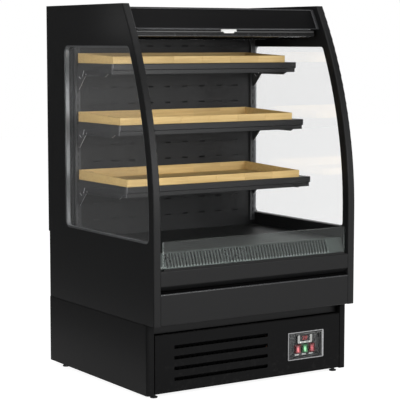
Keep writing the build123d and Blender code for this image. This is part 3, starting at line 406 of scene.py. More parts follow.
# glass or clear plastic that lets the lamps' light through
def clearMaterial(name, tint, haze, smear, ior=1.45):
    material, tree, shader = newMaterial(name)
    smudge = noiseNode(tree, objectVector(tree), scale=7.0, detail=5.0, roughness=0.62)
    fill(tree, shader, {"Base Color": tint, "Transmission Weight": 1.0, "IOR": ior,
                        "Roughness": rangeNode(tree, smudge, (0.45, 0.75), (haze, haze + smear))})
    shadow = tree.nodes.new("ShaderNodeLightPath").outputs["Is Shadow Ray"]
    through = addNode(tree, "ShaderNodeBsdfTransparent", {"Color": tint}).outputs[0]
    fill(tree, tree.nodes["Material Output"], {
        "Surface": mixShaders(tree, shadow, shader.outputs[0], through)})
    return material


# printed pale wood: boards side by side, each with its own grain and tone
wood = {
    "light": (0.70, 0.500, 0.212),
    "dark": (0.545, 0.362, 0.133),
    "boardLeft": -0.452,
    "boardPitch": 0.1435,
    "boardShade": 0.055,
    "gloss": 0.35,
}


def makeWood(values):
    material, tree, shader = newMaterial("palePrintedWood")
    fromLeft = mathNode(tree, "SUBTRACT", separate(tree, objectVector(tree))[0], values["boardLeft"])
    board = mathNode(tree, "FLOOR", mathNode(tree, "DIVIDE", fromLeft, values["boardPitch"]))
    pick = tree.nodes.new("ShaderNodeTexWhiteNoise")
    pick.noise_dimensions = "1D"
    fill(tree, pick, {"W": board})
    along = objectVector(tree, scale=(5.0, 85.0, 120.0))
    shifted = vectorNode(tree, "ADD", {0: along, 1: pick.outputs["Color"]})[0]
    grain = noiseNode(tree, shifted, scale=1.0, detail=6.0, roughness=0.62)
    pores = noiseNode(tree, objectVector(tree, scale=(40.0, 900.0, 900.0)), scale=1.0, detail=2.0)
    streak = rangeNode(tree, grain, (0.32, 0.72), (0.0, 1.0))
    toned = mixColours(tree, streak, values["light"], values["dark"])
    shade = rangeNode(tree, pick.outputs["Value"], (0.0, 1.0),
                      (1.0 - values["boardShade"], 1.0 + values["boardShade"]))
    varied = mixColours(tree, 1.0, toned, shade, "MULTIPLY")
    fleck = rangeNode(tree, pores, (0.60, 0.75), (0.0, 0.5))
    fill(tree, shader, {"Base Color": mixColours(tree, fleck, varied, values["dark"]),
                        "Roughness": rangeNode(tree, grain, (0.3, 0.7), (0.42, 0.58)),
                        "Specular IOR Level": values["gloss"]})
    addBump(tree, shader, grain, strength=0.10, distance=0.0006)
    return material


# woven blind cloth: two sets of threads, uneven in thickness
clothLook = {"pale": (0.34, 0.35, 0.36), "dark": (0.16, 0.165, 0.17), "threads": 210.0, "wander": 0.4,
             "sheen": 0.25}


def makeCloth(values):
    material, tree, shader = newMaterial("blindCloth")
    threads = []
    for direction in ("X", "Z"):
        wave = addNode(tree, "ShaderNodeTexWave", {"Vector": objectVector(tree), "Scale": values["threads"],
                                                   "Distortion": values["wander"]})
        wave.bands_direction = direction
        threads.append(wave.outputs["Fac"])
    weave = mathNode(tree, "MAXIMUM", *threads)
    slub = noiseNode(tree, objectVector(tree, scale=(30.0, 400.0, 400.0)), scale=1.0, detail=3.0)
    tone = mixColours(tree, rangeNode(tree, weave, (0.0, 1.0), (0.75, 0.0)), values["pale"], values["dark"])
    shade = rangeNode(tree, slub, (0.3, 0.7), (0.85, 1.1))
    fill(tree, shader, {"Base Color": mixColours(tree, 1.0, tone, shade, "MULTIPLY"),
                        "Roughness": rangeNode(tree, weave, (0.0, 1.0), (0.9, 0.7)),
                        "Sheen Weight": values["sheen"]})
    addBump(tree, shader, weave, strength=0.35, distance=0.0003)
    return material


# red digits, a little uneven in brightness
digitLook = {"dim": (0.75, 0.05, 0.07), "bright": (1.0, 0.16, 0.18), "body": (0.25, 0.01, 0.01),
             "strength": 0.55}


def makeDigitGlow(values):
    material, tree, shader = newMaterial("redDigits")
    flicker = noiseNode(tree, objectVector(tree), scale=900.0, detail=2.0)
    fill(tree, shader, {"Emission Color": mixColours(tree, flicker, values["dim"], values["bright"]),
                        "Emission Strength": values["strength"], "Base Color": values["body"],
                        "Roughness": rangeNode(tree, flicker, (0.0, 1.0), (0.3, 0.5))})
    return material


# translucent rocker with the lamp behind its middle
lensLook = {"depth": 0.058, "height": 0.1180, "spread": (0.0086, 0.04, 0.0162), "core": 0.42, "fade": 1.5,
            "rimShare": 0.25, "coat": 0.6}


def litLens(name, rocker, values):
    material, tree, shader = newMaterial(name)
    skin = placeGroup(tree, coatGroup, {"Colour": rocker["body"], "Mottle": 0.2, "Grain": 1500.0,
                                        "Polish": 0.22, "Scuff": 0.0})
    centre = (rocker["x"], back(values["depth"]), values["height"])
    scale = tuple(1.0 / s for s in values["spread"])
    offset = tuple(-c * k for c, k in zip(centre, scale))
    away = vectorNode(tree, "LENGTH", {0: objectVector(tree, scale, offset)})["Value"]
    inner = rangeNode(tree, away, (values["core"], 1.0), (1.0, 0.0))
    rim = tuple(c * values["rimShare"] for c in rocker["body"])
    glow = mixColours(tree, mathNode(tree, "POWER", inner, values["fade"]), rim, rocker["glow"])
    fill(tree, shader, {"Base Color": skin["Colour"], "Roughness": skin["Roughness"],
                        "Emission Color": glow, "Emission Strength": rocker["strength"],
                        "Coat Weight": values["coat"]})
    addBump(tree, shader, skin["Height"], strength=0.03, distance=0.0002)
    return material


# paints and plastics: name, colour, polish, grain, mottle, scuff, dust, gloss, and metal where given
paints = {
    "enamel": ("charcoalEnamel", (0.0098, 0.0099, 0.0102), 0.38, 620.0, 0.20, 0.25, 0.05, 0.15),
    "base": ("baseEnamel", (0.0078, 0.0078, 0.0080), 0.42, 620.0, 0.20, 0.05, 0.05, 0.05),
    # louvre and canopy are darker copies of the charcoal enamel: painted shade
    "louvreShadedEnamel": ("louvreEnamel", (0.0042, 0.0042, 0.0044), 0.42, 620.0, 0.20, 0.05, 0.05, 0.06),
    "canopyShadedEnamel": ("canopyEnamel", (0.0024, 0.0024, 0.0026), 0.40, 620.0, 0.20, 0.0, 0.03, 0.07),
    "outer": ("outerSheet", (0.035, 0.036, 0.038), 0.5, 800.0, 0.2, 0.1, 0.18, 0.2),
    "liner": ("linerEnamel", (0.010, 0.0115, 0.011), 0.40, 700.0, 0.14, 0.0, 0.05, 0.25),
    "grille": ("grilleEnamel", (0.032, 0.0345, 0.0335), 0.42, 700.0, 0.03, 0.0, 0.0, 0.3),
    # rib and bend are paler copies of the grille enamel: painted highlight
    "ribHighlight": ("ribEnamel", (0.052, 0.0545, 0.0535), 0.45, 700.0, 0.02, 0.0, 0.0, 0.3),
    "bend": ("wornBend", (0.17, 0.175, 0.173), 0.45, 700.0, 0.03, 0.0, 0.0, 0.3),
    "inner": ("innerEnamel", (0.013, 0.0135, 0.014), 0.42, 700.0, 0.16, 0.0, 0.05, 0.2),
    "shelf": ("shelfEnamel", (0.0150, 0.0152, 0.0158), 0.42, 700.0, 0.18, 0.0, 0.06, 0.22),
    "rail": ("railExtrusion", (0.0120, 0.0122, 0.0126), 0.34, 1100.0, 0.14, 0.0, 0.04, 0.22),
    "pin": ("zincPlate", (0.62, 0.62, 0.63), 0.36, 900.0, 0.15, 0.0, 0.0, 0.5, 0.3),
    # pale rail caps: painted highlight on the rail ends
    "cap": ("railCap", (0.15, 0.15, 0.153), 0.40, 900.0, 0.10, 0.0, 0.0, 0.4),
    "bracket": ("bracketEnamel", (0.040, 0.041, 0.043), 0.42, 700.0, 0.12, 0.0, 0.05, 0.35),
    # paler edging enamel: painted highlight on the canopy border and the panel lip
    "highlightEdging": ("edgingEnamel", (0.034, 0.0345, 0.036), 0.26, 900.0, 0.08, 0.0, 0.0, 0.4),
    "spacer": ("spacerAluminium", (0.19, 0.195, 0.20), 0.40, 900.0, 0.06, 0.0, 0.0, 0.5, 0.35),
    "nozzle": ("nozzlePlastic", (0.022, 0.022, 0.023), 0.5, 900.0, 0.12, 0.0, 0.05, 0.4),
    "lamp": ("opalDiffuser", (0.86, 0.87, 0.87), 0.35, 900.0, 0.04, 0.0, 0.04, 0.5),
    "bar": ("darkMoulding", (0.012, 0.012, 0.0122), 0.26, 1100.0, 0.10, 0.0, 0.0, 0.34),
    "barHeadHighlight": ("greyMoulding", (0.062, 0.062, 0.0615), 0.30, 1100.0, 0.10, 0.0, 0.0, 0.34),
    "white": ("whitePlastic", (0.84, 0.84, 0.82), 0.4, 1200.0, 0.05, 0.0, 0.02, 0.5),
    # pale bezel ring: painted highlight
    "bezelHighlightRing": ("bezelGrey", (0.36, 0.36, 0.365), 0.26, 1200.0, 0.10, 0.0, 0.0, 0.5, 0.5),
    "bezelDark": ("bezelDark", (0.020, 0.020, 0.021), 0.34, 1200.0, 0.10, 0.0, 0.0, 0.4),
    "label": ("labelPlastic", (0.52, 0.52, 0.51), 0.4, 1200.0, 0.05, 0.0, 0.02, 0.4),
    "surround": ("surroundPlastic", (0.30, 0.298, 0.29), 0.4, 1200.0, 0.05, 0.0, 0.02, 0.4),
    "redBody": ("redHousing", (0.055, 0.002, 0.004), 0.20, 1500.0, 0.2, 0.0, 0.0, 0.5),
    "greenBody": ("greenHousing", (0.002, 0.040, 0.010), 0.20, 1500.0, 0.2, 0.0, 0.0, 0.5),
    "recess": ("recessPlastic", (0.019, 0.0193, 0.020), 0.4, 1000.0, 0.12, 0.0, 0.0, 0.5),
    "controller": ("controllerBlack", (0.015, 0.015, 0.016), 0.16, 1500.0, 0.1, 0.0, 0.0, 0.5),
    "flapEdge": ("flapEdge", (0.42, 0.42, 0.41), 0.25, 1200.0, 0.06, 0.0, 0.0, 0.5),
    "button": ("buttonPlastic", (0.72, 0.72, 0.70), 0.4, 1500.0, 0.05, 0.0, 0.0, 0.5),
    # black plastic of the feet, also the painted shade in the screws' crosses
    "blackPlasticAndCrossShade": ("footPlastic", (0.012, 0.012, 0.012), 0.5, 1000.0, 0.2, 0.3, 0.1, 0.4),
    "compressor": ("compressorBlack", (0.010, 0.010, 0.010), 0.22, 500.0, 0.2, 0.0, 0.12, 0.5),
    "fan": ("fanPlastic", (0.018, 0.018, 0.018), 0.42, 900.0, 0.2, 0.0, 0.1, 0.45),
    "electrics": ("electricsGrey", (0.28, 0.29, 0.30), 0.5, 900.0, 0.08, 0.0, 0.1, 0.4),
    # a dull near-black that stands in for shade: painted shade
    "dullRubber": ("dullRubber", (0.0016, 0.0016, 0.0017), 0.8, 900.0, 0.2, 0.0, 0.0, 0.02),
}
materials = {key: coated(*row) for key, row in paints.items()}
# the rest: sheets give contrast and polish, clear ones haze, smear and index of refraction
materials.update({
    "zinc": metalSheet("zincSheet", (0.46, 0.47, 0.48), spangleGroup, 0.35, 0.42),
    "glass": clearMaterial("windowGlass", (0.998, 0.999, 0.999), 0.0, 0.003),
    "riser": clearMaterial("riserGlass", (0.86, 0.92, 0.895), 0.0, 0.002, 1.29),
    # near-black coil: partly black paint, partly painted shade behind the louvre slots
    "coilBlackAndShade": metalSheet("blackCoilAndShade", (0.006, 0.006, 0.0062), brushGroup, 0.3, 0.6),
    "wood": makeWood(wood),
    "cloth": makeCloth(clothLook),
    "flap": clearMaterial("flapPlastic", (0.93, 0.94, 0.935), 0.015, 0.02, 1.18),
    "steel": metalSheet("platedSteel", (0.56, 0.56, 0.57), brushGroup, 0.2, 0.32),
    "fins": metalSheet("finAluminium", (0.66, 0.67, 0.68), brushGroup, 0.35, 0.36),
    "copper": metalSheet("copperTube", (0.64, 0.32, 0.19), brushGroup, 0.4, 0.3),
    "digits": makeDigitGlow(digitLook),
})
# the opal diffuser glows a little
lampGlow = {"Emission Color": (1.0, 0.98, 0.94), "Emission Strength": 0.9}
opal = materials["lamp"].node_tree
fill(opal, opal.nodes["Principled BSDF"], lampGlow)

# which solids wear which finish
finishes = {
    # base_frame is zinc sheet; the charcoal enamel on it is painted shade where it shows in the gap under
    # the front panel
    "enamel": ["upper_end_left", "upper_end_right", "lower_end_left", "lower_end_right", "front_panel",
               "front_rail", "base_frame"],
    # canopy front and louvre panel wear the darker copies of the enamel: painted shade
    "canopyShadedEnamel": ["canopy_front"],
    "base": ["base_side_left", "base_side_right"],
    "louvreShadedEnamel": ["louvre_panel"],
    "zinc": ["rear_grille"],
    # the fan plate is painted near-black: painted shade seen through the grille's slots
    "dullRubber": ["fan_plate"],
    "outer": ["roof", "back_wall"],
    "inner": ["inner_back_panel", "tub"],
    "shelf": ["shelf_top", "shelf_middle", "shelf_low"],
    "bracket": ["uprights"],
    "rail": ["price_rails"],
    "glass": ["window_left", "window_right"],
    "riser": ["riser_glass"],
    "spacer": ["window_spacers"],
    "wood": ["tray_top", "tray_middle", "tray_low"],
    "nozzle": ["air_nozzle"],
    "cloth": ["blind_roller"],
    "white": ["blind_handle"],
    "button": ["down_button", "set_button", "up_button"],
    "blackPlasticAndCrossShade": ["foot_front_left", "foot_front_right", "foot_rear_left", "foot_rear_right"],
    "compressor": ["compressor"],
    "fins": ["evaporator"],
    "coilBlackAndShade": ["condenser"],
    "fan": ["condenser_fan", "evaporator_fan_left", "evaporator_fan_right"],
    "copper": ["refrigerant_pipes"],
    "electrics": ["electrics_box"],
}


def dress(node, material):
    mesh = nodes[node].data
    mesh.materials.clear()
    mesh.materials.append(material)


for finish, members in finishes.items():
    for member in members:
        dress(member, materials[finish])

rockers = {
    "power_switch": {"x": 0.2496, "body": (0.12, 0.003, 0.006), "glow": (1.0, 0.24, 0.27),
                     "strength": 0.85},
    "light_switch": {"x": 0.2862, "body": (0.003, 0.085, 0.018), "glow": (0.42, 1.0, 0.54),
                     "strength": 0.95},
    "defrost_switch": {"x": 0.3228, "body": (0.12, 0.003, 0.006), "glow": (0.75, 0.12, 0.16),
                       "strength": 0.65},
}
for member, rocker in rockers.items():
    dress(member, litLens(member + "Lens", rocker, lensLook))
print("materials ready")


# helpers for new pieces
merge = 1e-6  # vertices nearer than this are one
hair = 1e-5  # slack where a face's centre is compared with a cut


def addPiece(bm, name, body, finishNames, sharpAngle=35.0):
    bmesh.ops.remove_doubles(bm, verts=bm.verts, dist=merge)
    bmesh.ops.recalc_face_normals(bm, faces=bm.faces)
    piece = meshObject(name, bm, [materials[finish] for finish in finishNames])
    mesh = piece.data
    mesh.polygons.foreach_set("use_smooth", [True] * len(mesh.polygons))
    mesh.set_sharp_from_angle(angle=math.radians(sharpAngle))
    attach(piece, body)
    return piece


def roundEdges(bm, edges, width, segments):
    bmesh.ops.bevel(bm, geom=edges, offset=width, affect="EDGES", segments=segments, profile=0.5,
                    material=-1)


def addBlock(bm, low, high, edge=0.0, segments=2, turned=0.0):
    low, high = Vector(low), Vector(high)
    tilt = Matrix.Rotation(math.radians(turned), 4, "X")
    place = Matrix.Translation((low + high) / 2) @ tilt @ Matrix.Diagonal((*(high - low), 1.0))
    made = bmesh.ops.create_cube(bm, size=1.0, matrix=place)
    if edge:
        roundEdges(bm, list({e for v in made["verts"] for e in v.link_edges}), edge, segments)


def addRod(bm, centre, axis, radius, length, segments):
    direct = Vector(axis).to_track_quat("Z", "Y").to_matrix().to_4x4()
    return bmesh.ops.create_cone(bm, cap_ends=True, segments=segments, radius1=radius, radius2=radius,
                                 depth=length, matrix=Matrix.Translation(centre) @ direct)


# a merged copy of a CAD node's mesh, to be given several finishes
def copyNode(node):
    bm = bmesh.new()
    bm.from_mesh(nodes[node].data)
    bmesh.ops.remove_doubles(bm, verts=bm.verts, dist=merge)
    return bm


def cutAt(bm, point, normal):
    geom = list(bm.verts) + list(bm.edges) + list(bm.faces)
    bmesh.ops.bisect_plane(bm, geom=geom, dist=1e-7, plane_co=point, plane_no=normal)


# cuts upright at each column and level at each height
def cutGrid(bm, columns, heights):
    for x in columns:
        cutAt(bm, (x, 0, 0), (1, 0, 0))
    for z in heights:
        cutAt(bm, (0, 0, z), (0, 0, 1))


# gives each face the finish that the rule picks from its normal and its centre
def paint(bm, rule):
    for face in bm.faces:
        face.material_index = int(rule(face.normal, face.calc_center_median()))


# what an operator has made, of one kind
def newOnes(made, kind, key="geom"):
    return [g for g in made[key] if isinstance(g, kind)]


def walk(bm, vert, step):
    following = bmesh.ops.extrude_vert_indiv(bm, verts=[vert])["verts"][0]
    bmesh.ops.translate(bm, vec=step, verts=[following])
    return following


def turn(bm, vert, centre, angle, steps):
    made = bmesh.ops.spin(bm, geom=[vert], cent=centre, axis=(1, 0, 0), angle=angle, steps=steps,
                          use_duplicate=False)
    return newOnes(made, bmesh.types.BMVert, "geom_last")[0]


# temperature controller: pale surround, black window, red digits
controllerFace = {
    "left": 0.247,
    "right": 0.323,
    "low": 0.144,
    "front": 0.060,
    "margin": 0.0115,
    "sill": 0.0085,
    "faceDepth": 0.0012,
}
display = {
    "reading": "38",
    "left": 0.2715,
    "pitch": 0.0155,
    "low": 0.1580,
    "width": 0.0088,
    "height": 0.0150,
    "bar": 0.0016,
    "slant": 0.10,
    "front": 0.0606,
    "depth": 0.0004,
    "gapShare": 0.18,  # of a bar's width, taken off each side of it
    "dotShare": 1.9,  # of a bar's width, from the dot to the next digit
}
digitBars = {"0": "abcdef", "1": "bc", "2": "abged", "3": "abgcd", "4": "fgbc", "5": "afgcd",
             "6": "afgedc", "7": "abc", "8": "abcdefg", "9": "abcdfg"}


def makeController(values):
    bm = copyNode("controller")
    inLeft = values["left"] + values["margin"]
    inRight = values["right"] - values["margin"]
    sill = values["low"] + values["sill"]
    faceBack = back(values["front"] + values["faceDepth"])
    cutGrid(bm, (inLeft, inRight), (sill,))
    paint(bm, lambda normal, place: place.y < faceBack and (
        place.x < inLeft + hair or place.x > inRight - hair or place.z < sill + hair))
    piece = addPiece(bm, "controllerHousing", "cabinet", ["controller", "surround"])
    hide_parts("controller")


def makeDigits(values):
    bm = bmesh.new()
    wide, high, bar = values["width"], values["height"], values["bar"]
    half = high / 2
    bars = {
        "a": ((0, high - bar), (wide, high)), "g": ((0, half - bar / 2), (wide, half + bar / 2)),
        "d": ((0, 0), (wide, bar)), "f": ((0, half), (bar, high)), "e": ((0, 0), (bar, half)),
        "b": ((wide - bar, half), (wide, high)), "c": ((wide - bar, 0), (wide, half)),
    }
    gap = bar * values["gapShare"]
    y0, y1 = back(values["front"]), back(values["front"] + values["depth"])
    for i, digit in enumerate(values["reading"]):
        left = values["left"] + i * values["pitch"]
        for name in digitBars[digit]:
            (u0, v0), (u1, v1) = bars[name]
            addBlock(bm, (left + u0 + gap, y0, values["low"] + v0 + gap),
                     (left + u1 - gap, y1, values["low"] + v1 - gap))
    dot = values["left"] + values["pitch"] - bar * values["dotShare"]
    addBlock(bm, (dot, y0, values["low"]), (dot + bar, y1, values["low"] + bar))
    for vert in bm.verts:
        vert.co.x += (vert.co.z - values["low"]) * values["slant"]
    addPiece(bm, "displayDigits", "cabinet", ["digits"])


makeController(controllerFace)
makeDigits(display)
print("controller made")


# control panel: bezel with a pale ring that is a painted highlight, broader on the right, dark recess,
# blank strips under the rockers
panel = {
    "bezelBack": 0.0525,
    "ringInset": 0.0030,
    "highlightRingRight": 0.0071,  # the painted highlight ring is broader on the right, where the light falls
    "housingFront": 0.058,
    "housingHeight": 0.1195,
    "housingHalf": 0.0192,
    "housingWide": 0.0131,
    "flapFlat": 0.5,  # faces that look forwards less than this are edges
    "left": 0.190,
    "right": 0.376,
    "low": 0.078,
    "high": 0.196,
    "recessBack": 0.070,
}
strips = {"width": 0.0200, "height": 0.0072, "middle": 0.0950, "thickness": 0.0012, "edge": 0.0002}


def makeControlPanel(values):
    bm = copyNode("control_frame")
    ring = values["ringInset"]
    left, right = values["left"] + ring, values["right"] - ring
    low, high = values["low"] + ring, values["high"] - ring
    bezelBack, housingFront = back(values["bezelBack"]), back(values["housingFront"])
    cutAt(bm, (0, bezelBack, 0), (0, 1, 0))
    cutGrid(bm, (left, right), (low, high))

    # 0 recess, 1 outer ring in a pale painted highlight, 2 bezel, 3 red housing, 4 green housing
    def finish(normal, place):
        if place.y > housingFront - hair and abs(place.z - values["housingHeight"]) < values["housingHalf"]:
            for rocker in rockers.values():
                if abs(place.x - rocker["x"]) < values["housingWide"]:
                    return 4 if rocker["body"][1] > rocker["body"][0] else 3
        if place.y >= bezelBack + hair:
            return 0
        outer = (place.x < left or place.x > values["right"] - values["highlightRingRight"] or place.z < low
                 or place.z > high)
        return 1 if outer else 2

    paint(bm, finish)
    piece = addPiece(bm, "controlPanel", "cabinet",
                     ["recess", "bezelHighlightRing", "bezelDark", "redBody", "greenBody"])
    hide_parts("control_frame")


# the flap is clear, and its sawn edges are painted pale: a painted highlight
def makeFlap(values):
    bm = copyNode("control_cover")
    paint(bm, lambda normal, place: abs(normal.y) <= values["flapFlat"])
    piece = addPiece(bm, "clearFlap", "cover", ["flap", "flapEdge"])
    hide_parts("control_cover")


def makeStrips(values):
    bm = bmesh.new()
    wide, high = values["width"] / 2, values["height"] / 2
    y1 = back(panel["recessBack"])
    for rocker in rockers.values():
        x = rocker["x"]
        addBlock(bm, (x - wide, y1 - values["thickness"], values["middle"] - high),
                 (x + wide, y1, values["middle"] + high), values["edge"])
    addPiece(bm, "blankStrips", "cabinet", ["label"])


makeControlPanel(panel)
makeFlap(panel)
makeStrips(strips)
print("control panel made")


# shelf hardware: bracket edges in bright zinc, partly bare sheared metal and partly a painted highlight,
# bright pins, and pale caps on the price rails that are a painted highlight
shelfSet = {
    "tops": (0.8295, 1.0775, 1.3255),
    "fronts": (0.261, 0.316, 0.372),
    "bracketX": 0.452,
    "heel": 0.6897,  # depth of the brackets' rear edge
    "pinReach": 0.0021,
    "tabs": ({"behind": 0.050, "below": 0.044, "length": 0.0262, "width": 0.0042, "turned": 115},
             {"behind": 0.020, "below": 0.062, "length": 0.0192, "width": 0.0032, "turned": 32}),
    "tabEdge": 0.0009,
    "rod": {"behind": 0.075, "below": 0.047, "radius": 0.0029, "segments": 16},
    "cutEdge": 0.3,  # faces that look sideways less than this are sheared edges
    "railEnd": 0.4585,
    "capThick": 0.0012,
    "capDepth": 0.0136,
    "capEdge": 0.0004,
    "nose": 0.024,
    "step": 0.009,
    "fold": 0.043,
}


def makeBracketPlates(values):
    bm = copyNode("shelf_brackets")
    # sheared edges in the bright zinc: partly bare metal, partly painted highlight
    paint(bm, lambda normal, place: abs(normal.x) < values["cutEdge"])
    piece = addPiece(bm, "bracketPlates", "cabinet", ["bracket", "pin"])
    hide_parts("shelf_brackets")


def makeBracketPins(values):
    bm = bmesh.new()
    reach, rod = values["pinReach"], values["rod"]
    for top in values["tops"]:
        for side in (-1, 1):
            x = side * values["bracketX"]
            for tab in values["tabs"]:
                centre = Vector((x, back(values["heel"] - tab["behind"]), top - tab["below"]))
                half = Vector((reach, tab["length"] / 2, tab["width"] / 2))
                addBlock(bm, centre - half, centre + half, values["tabEdge"], segments=3,
                         turned=tab["turned"])
            centre = (x, back(values["heel"] - rod["behind"]), top - rod["below"])
            addRod(bm, centre, (1, 0, 0), rod["radius"], 2 * reach, rod["segments"])
    addPiece(bm, "bracketPins", "cabinet", ["pin"])


# pale end caps on the price rails: a painted highlight on the rail ends
def makeRailCaps(values):
    bm = bmesh.new()
    edge = values["capEdge"]
    for top, front in zip(values["tops"], values["fronts"]):
        for side in (-1, 1):
            x0, x1 = sorted((side * values["railEnd"], side * (values["railEnd"] + values["capThick"])))
            y0, y1 = back(front), back(front + values["capDepth"])
            addBlock(bm, (x0, y0, top - values["nose"]), (x1, y1, top), edge)
            addBlock(bm, (x0, y0 + values["step"], top - values["fold"]),
                     (x1, y1, top - values["nose"]), edge)
    addPiece(bm, "railCaps", "cabinet", ["cap"])


makeBracketPlates(shelfSet)
makeBracketPins(shelfSet)
makeRailCaps(shelfSet)
print("shelf hardware made")


# canopy edging: a raised border round the canopy front, wider at its ends, in a paler enamel that is a
# painted highlight
highlightEdging = {
    "sweepStart": 0.700,
    "sweepRadius": 1.720,
    "inset": 0.029,
    "low": 1.4686,
    "high": 1.552,
    "half": 0.4650,
    "endBand": 0.016,
    "lowBand": 0.0024,
    "highBand": 0.004,
    "rise": 0.0022,
    "lift": 0.0001,
    "bevel": 0.0009,
    "rimAngle": 1.0,  # radians, from which an edge of the front is rounded
    "sharp": 50.0,  # degrees
    "rows": 12,
    "columns": 40,
}


def makeEdging(values):
    bm = bmesh.new()
    bmesh.ops.create_grid(bm, x_segments=values["columns"], y_segments=values["rows"], size=0.5)
    bmesh.ops.scale(bm, vec=(2 * values["half"], values["high"] - values["low"], 1), verts=bm.verts)
    bmesh.ops.rotate(bm, cent=(0, 0, 0), matrix=Matrix.Rotation(math.pi / 2, 3, "X"), verts=bm.verts)
    bmesh.ops.translate(bm, vec=(0, 0, (values["high"] + values["low"]) / 2), verts=bm.verts)
    half = values["half"] - values["endBand"]
    low, high = values["low"] + values["lowBand"], values["high"] - values["highBand"]
    cutGrid(bm, (half, -half), (low, high))
    centres = {f: f.calc_center_median() for f in bm.faces}
    inner = [f for f, place in centres.items() if abs(place.x) < half and low < place.z < high]
    bmesh.ops.delete(bm, geom=inner, context="FACES")
    radius = values["sweepRadius"] - values["inset"]
    for vert in bm.verts:
        rise = vert.co.z - values["sweepStart"]
        vert.co.y = back(values["sweepRadius"] - math.sqrt(radius ** 2 - rise ** 2)) - values["lift"]
    front = newOnes(bmesh.ops.extrude_face_region(bm, geom=bm.faces[:]), bmesh.types.BMVert)
    bmesh.ops.translate(bm, vec=(0, -values["rise"], 0), verts=front)
    frontSet = set(front)
    rims = [e for e in bm.edges
            if all(v in frontSet for v in e.verts) and e.calc_face_angle(0) > values["rimAngle"]]
    roundEdges(bm, rims, values["bevel"], segments=3)
    addPiece(bm, "canopyEdging", "cabinet", ["highlightEdging"], values["sharp"])


makeEdging(highlightEdging)
print("canopy edging made")


# lip of the front panel: a smooth bead over its folded top edge, in the paler edging enamel: a painted
# highlight
panelLip = {
    "half": 0.4655,
    "face": 0.002,
    "top": 0.428,
    "bend": 0.003,
    "proud": 0.0007,
    "skirt": 0.0012,
    "ledge": 0.004,
    "steps": 8,
    "sharp": 50.0,
}


def makePanelLip(values):
    bm = bmesh.new()
    x, face, bend = -values["half"], values["face"], values["bend"]
    bendLow = values["top"] - bend
    vert = bm.verts.new((x, back(face - values["proud"]), bendLow - values["skirt"]))
    vert = walk(bm, vert, (0, 0, values["skirt"]))
    vert = turn(bm, vert, (x, back(face + bend), bendLow), -math.pi / 2, values["steps"])
    walk(bm, vert, (0, values["ledge"], 0))
    moved = newOnes(bmesh.ops.extrude_edge_only(bm, edges=bm.edges[:]), bmesh.types.BMVert)
    bmesh.ops.translate(bm, vec=(2 * values["half"], 0, 0), verts=moved)
    bmesh.ops.recalc_face_normals(bm, faces=bm.faces)
    bmesh.ops.solidify(bm, geom=bm.faces[:], thickness=values["proud"])
    addPiece(bm, "panelLip", "cabinet", ["highlightEdging"], values["sharp"])


# near-black strip along the floor of the bumper groove: painted shade in the gap
grooveShadeStrip = {"half": 0.4655, "front": 0.0100, "rear": 0.0355, "low": 0.4283, "high": 0.4376,
              "edge": 0.0030}


def makeGrooveShadeStrip(values):
    bm = bmesh.new()
    addBlock(bm, (-values["half"], back(values["front"]), values["low"]),
             (values["half"], back(values["rear"]), values["high"]), values["edge"], segments=4)
    addPiece(bm, "grooveShadeStrip", "cabinet", ["dullRubber"])


makePanelLip(panelLip)
makeGrooveShadeStrip(grooveShadeStrip)
print("front panel lip and groove seal made")


# return-air grille: a folded sheet with slots, a raised rib on each bar in a paler enamel, and a lower bend
# in a paler band; both paler colours are painted highlight
airGrille = {
    "half": 0.4654,
    "profile": ((0.030, 0.5206), (0.030, 0.5265), (0.0325, 0.5335), (0.0510, 0.5828), (0.0550, 0.5858),
                (0.110, 0.5790)),
    "slotLow": 0.5280,
    "slotHigh": 0.5822,
    "slotLast": 0.3725,
    "slotPitch": 0.0149,
    "slotWidth": 0.0086,
    "slotCount": 54,
    "ribRadius": 0.0030,
    "ribSegments": 8,
    "bendLow": 0.5245,
    "bendHigh": 0.5345,
    "bendEnd": 0.386,  # the painted highlight stops short of the right end
    "sheet": 0.0015,
}


def makeAirGrille(values):
    bm = bmesh.new()
    half, wide = values["half"], values["slotWidth"] / 2
    outline = [Vector((0, back(depth), height)) for depth, height in values["profile"]]
    slopeLow, slopeHigh, slopeEnd = outline[2:5]
    vert = bm.verts.new(outline[0] - Vector((half, 0, 0)))
    for here, there in zip(outline, outline[1:]):
        vert = walk(bm, vert, there - here)
    cutGrid(bm, (), (values["slotLow"], values["slotHigh"]))
    centres = sorted(values["slotLast"] - i * values["slotPitch"] for i in range(values["slotCount"]))
    stations = [x + side for x in centres for side in (-wide, wide)] + [values["bendEnd"], half]
    ends, now = bm.edges[:], -half
    for station in stations:
        made = bmesh.ops.extrude_edge_only(bm, edges=ends)
        moved = newOnes(made, bmesh.types.BMVert)
        bmesh.ops.translate(bm, vec=(station - now, 0, 0), verts=moved)
        ends = [e for e in newOnes(made, bmesh.types.BMEdge) if all(v in moved for v in e.verts)]
        now = station
    slots = []
    for face in bm.faces:
        place = face.calc_center_median()
        between = values["slotLow"] < place.z < values["slotHigh"] and place.y < slopeEnd.y
        if between and any(abs(place.x - x) < wide for x in centres):
            slots.append(face)
    bmesh.ops.delete(bm, geom=slots, context="FACES")
    bmesh.ops.recalc_face_normals(bm, faces=bm.faces)
    bmesh.ops.solidify(bm, geom=bm.faces[:], thickness=values["sheet"])
    # the lower bend gets a pale band: painted highlight
    paint(bm, lambda normal, place: (
        values["bendLow"] < place.z < values["bendHigh"] and place.x < values["bendEnd"]))
    slope = slopeHigh - slopeLow
    # ribs in the paler rib colour: painted highlight
    for i in range(values["slotCount"] + 1):
        centre = (slopeLow + slopeHigh) / 2
        centre.x = values["slotLast"] + (0.5 - i) * values["slotPitch"]
        made = addRod(bm, centre, slope, values["ribRadius"], slope.length, values["ribSegments"])
        for face in {f for v in made["verts"] for f in v.link_faces}:
            face.material_index = 2
    piece = addPiece(bm, "airGrille", "cabinet", ["grille", "bend", "ribHighlight"])
    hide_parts("air_grille")


